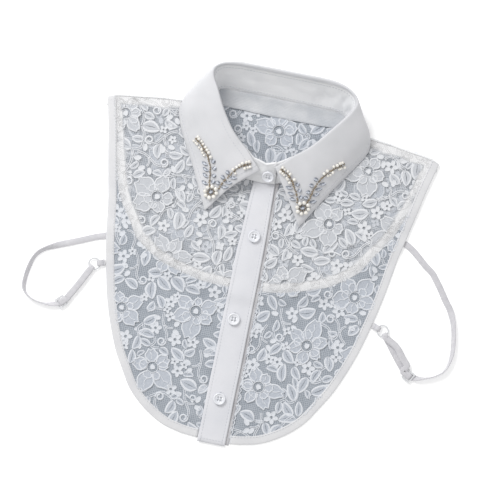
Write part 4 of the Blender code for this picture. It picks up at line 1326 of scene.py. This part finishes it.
def button_shape():
    """A four-hole button about its own middle, its rim raised round a shallow dish."""
    r, t = BUTTON_RADIUS, BUTTON_THICK
    profile = [(r - 1.6, 0), (r - 0.7, 0.25), (r - 0.1, 0.9), (r, 1.5), (r - 0.12, t - 0.45),
               (r - 0.45, t - 0.12), (r - 0.8, t), (r - 1.15, t - 0.12), (r - 1.5, t - 0.5),
               (r - 1.9, t - 0.92), (r - 2.4, t - 1.0)]
    count, corners = 48, 12
    points = [(x, y, z) for radius, z in profile for x, y in circle(radius, count)]
    faces = quads(len(profile), count)
    holes = [Vector((a, b)) for a in (-EYE, EYE) for b in (-EYE, EYE)]
    eyes = [p for hole in holes for p in circle(EYE_RADIUS, corners, hole)]
    loops = [list(range(count))] + [[count + corners * n + i for i in range(corners)] for n in range(4)]
    edges = [(loop[i], loop[(i + 1) % len(loop)]) for loop in loops for i in range(len(loop))]
    for ring in (0, len(profile) - 1):
        start = ring * count
        plan = [Vector(p[:2]) for p in points[start:start + count]] + [Vector(p) for p in eyes]
        first = [*range(start, start + count), *range(len(points), len(points) + len(eyes))]
        points += [(x, y, profile[ring][1]) for x, y in eyes]
        for f in delaunay_2d_cdt(plan, edges, [], 1, 1e-5)[2]:
            middle = sum((plan[i] for i in f), Vector((0, 0))) / 3
            if all((middle - hole).length > EYE_RADIUS - 0.06 for hole in holes):
                faces.append(tuple(first[i] for i in (f if ring else f[::-1])))
    low = len(profile) * count
    high = low + len(eyes)
    for n in range(4):
        for i in range(corners):
            a, b = n * corners + i, n * corners + (i + 1) % corners
            faces.append((low + b, low + a, high + a, high + b))
    return points, faces


def add_button(name, at, axis, sewing):
    """A button with the two threads that show through its holes."""
    points, faces = button_shape()
    turn, at = UP.rotation_difference(Vector(axis)), Vector(at)
    obj = add_mesh(f"shirt_button_{name}", [turn @ Vector(p) + at for p in points], faces, [BUTTON])
    place(obj, "button", f"button_{name}")
    for x in (-EYE, EYE):
        spot, along, up = (turn @ Vector(v) for v in ((x, 0, SHANK_HIGH), (0, 1, 0), UP))
        stitch(sewing, at + spot, along, up, 3.4, 0.9, 0.55)


def add_buttons(sewing):
    for name, x, y in BUTTONS:
        top = placket_low(y) + PLACKET_HIGH + PLACKET_THICK
        add_button(name, (x, y, top + SEAM_GAP), UP, sewing)
    x, y = STAND_BUTTON
    section = front_section(x)
    low = Vector(section[0])
    lean, outwards = lean_of(low, Vector(section[-1]))
    at = low + lean * ((y - low.y) / lean.y)
    add_button("stand", at + outwards * (STAND_THICK / 2 + 1.2 + SEAM_GAP), outwards, sewing)


# Straps

def add_tape(name, path, node):
    """Elastic with rounded edges along x, y, z, width and turn in degrees."""
    corners = [(0.9, 1), (0.3, 1.05), (-0.3, 1.05), (-0.9, 1), (-1, 0.45), (-1, -0.45), (-0.9, -1),
               (0, -1), (0.9, -1), (1, -0.45), (1, 0.45)]
    path = curve(path, 4)
    sections, side = [], None
    for (x, y, z, width, turn), along in zip(path, np.gradient(path[:, :3], axis=0)):
        along, turn = Vector(along).normalized(), radians(turn)
        side = side or along.cross(UP)
        side = Vector((side.x, side.y, 0))
        side = (side - along * side.dot(along)).normalized()
        wide = side * cos(turn) + side.cross(along) * sin(turn)
        height = (abs(sin(turn)) * width + abs(cos(turn)) * ELASTIC_THICK) / 2
        thick = along.cross(wide).normalized() * ELASTIC_THICK / 2
        middle = Vector((x, y, max(z, height)))
        sections.append([middle + wide * (a * width / 2) + thick * b for a, b in corners])
    return add_loft(name, sections, ELASTIC, "elastic", node)


def flat_tape(from_place, way, stops):
    """Stations of a tape that lies flat: how far out along the way, height and width."""
    return [(*(from_place + way * out), z, width, 0) for out, z, width in stops]


def round_wire(ring, way, high):
    """The tape's way under the ring's wire, up inside the ring and back over it."""
    stops = [(7.5, 0.5, 6), (5.6, 0.5, 5.4), (3.9, 0.6, 5), (3.0, 1.2, 4.8), (2.8, 2.05, 4.8),
             (3.0, 2.9, 4.8), (3.9, 3.5, 5), (5.6, 3.65, 5.4), (7.5, high, 6)]
    return flat_tape(ring, way, stops)


def on_edge(turn):
    """How high the tape's middle is when a turned tape stands on its lower edge."""
    turn = radians(abs(turn))
    return (ELASTIC_WIDE * sin(turn) + ELASTIC_THICK * cos(turn)) / 2


def add_strap(name, table, ring, slider, aside):
    """The elastic from its binding round the ring and back to the slider's bar."""
    spots = [Vector(row[:2]) for row in table]
    path = [(x, y, on_edge(turn), ELASTIC_WIDE, turn) for x, y, turn in table]
    path += round_wire(ring, (spots[-1] - ring).normalized(), 3.7)
    path += [(*(spot + Vector(aside)), 3.7, ELASTIC_WIDE, 0) for spot in spots[-2:-5:-1]]
    hook = [(7, 3.7), (4.5, 3.6), (1.5, 3.5), (0, 3.5), (-1.4, 3.3), (-2.1, 2.6), (-2.2, 1.9)]
    path += flat_tape(slider, (spots[-5] - slider).normalized(), [(*stop, ELASTIC_WIDE) for stop in hook])
    add_tape(f"elastic_{name}", path, f"strap_{name}")


def add_ring(name, at):
    """A plastic ring of round wire."""
    sections = []
    for a in turns(56):
        out = Vector((cos(a), sin(a), 0))
        sections.append([Vector((*at, RING_Z)) + out * (RING_RADIUS + WIRE * cos(b))
                         + UP * WIRE * sin(b) for b in turns(14)])
    add_loft(f"plastic_ring_{name}", sections, PLASTIC, "plastic", f"ring_{name}", closed=True)


def add_tab(name, start, ring, sewing):
    """The folded loop that holds the ring, sewn down on the binding."""
    way = (start - ring).normalized()
    path = flat_tape(start, way, [(0, 0.5, 6)]) + round_wire(ring, way, 3.6)[1:-1]
    path += flat_tape(start, way, [(-1.2, 2.1, 6), (0, 1.8, 6)])
    obj = add_tape(f"elastic_tab_{name}", path, f"tab_{name}")
    tree = surface_of(obj)
    for k in (-2, -1, 0, 1, 2):
        hit, normal = dropped(tree, *(start - way * 2.2 + Vector((-way.y, way.x)) * k))
        if hit is not None:
            stitch(sewing, hit, (*way, 0), normal, 1.6, 0.4)


def add_slider(name):
    """The frame's own solid with its edges rounded."""
    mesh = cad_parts[f"slider_{name}"].data.copy()
    mesh.materials.clear()
    mesh.materials.append(PLASTIC)
    obj = linked(f"plastic_slider_{name}", mesh)
    bevel = obj.modifiers.new("round", "BEVEL")
    bevel.width, bevel.segments, bevel.angle_limit = 0.35 * MM, 3, radians(40)
    place(obj, "plastic", f"slider_{name}")


def add_straps(sewing):
    """Both elastics, then each side's ring, tab and slider."""
    for name, (table, ring, _, slider, aside) in STRAPS.items():
        add_strap(name, table, Vector(ring), Vector(slider), aside)
    for name, (_, ring, tab, _, _) in STRAPS.items():
        add_ring(name, ring)
        add_tab(name, Vector(tab), Vector(ring), sewing)
        add_slider(name)


# Stage

def add_stage():
    """A white floor, white all round, and one soft window at the left."""
    corners = [(x * FLOOR_REACH, y * FLOOR_REACH, -FLOOR_DROP)
               for x, y in ((-1, -1), (1, -1), (1, 1), (-1, 1))]
    add_mesh("floor", corners, [(0, 1, 2, 3)], [FLOOR])
    scene, world = bpy.context.scene, bpy.data.worlds.new("studio")
    world.use_nodes = True
    around = world.node_tree.nodes["Background"].inputs
    around["Color"].default_value, around["Strength"].default_value = (1, 1, 1, 1), 0.70
    scene.world = world
    light = bpy.data.lights.new("window", "AREA")
    light.energy, light.size = 27, 0.9
    lamp = linked("window", light)
    lamp.location = (-1.1, 1.0, 1.5)
    lamp.rotation_euler = (Vector((0, -0.1, 0)) - lamp.location).to_track_quat("-Z", "Y").to_euler()
    scene.view_settings.view_transform, scene.view_settings.look = "Standard", "None"


def add_camera():
    """Straight above the collar, turned as the picture is."""
    data = bpy.data.cameras.new("camera")
    data.sensor_width, data.lens, data.clip_end = SENSOR, SENSOR * CAMERA_HIGH / VIEW_WIDE, 20
    camera = linked("camera", data)
    middle = Vector((*VIEW_MIDDLE, CAMERA_HIGH)) * MM
    camera.matrix_world = Matrix.Translation(middle) @ Matrix.Rotation(VIEW_TURN, 4, "Z")
    bpy.context.scene.camera = camera


def main():
    add_camera()
    add_stage()
    sewing = Gathered()
    add_lace()
    add_bindings(sewing)
    add_shoulders()
    add_plackets(sewing)
    add_facing(sewing)
    add_stand(sewing)
    add_beads(add_leaf(sewing))
    add_buttons(sewing)
    add_straps(sewing)
    place(sewing.mesh("stitches", THREAD), "cotton")


main()
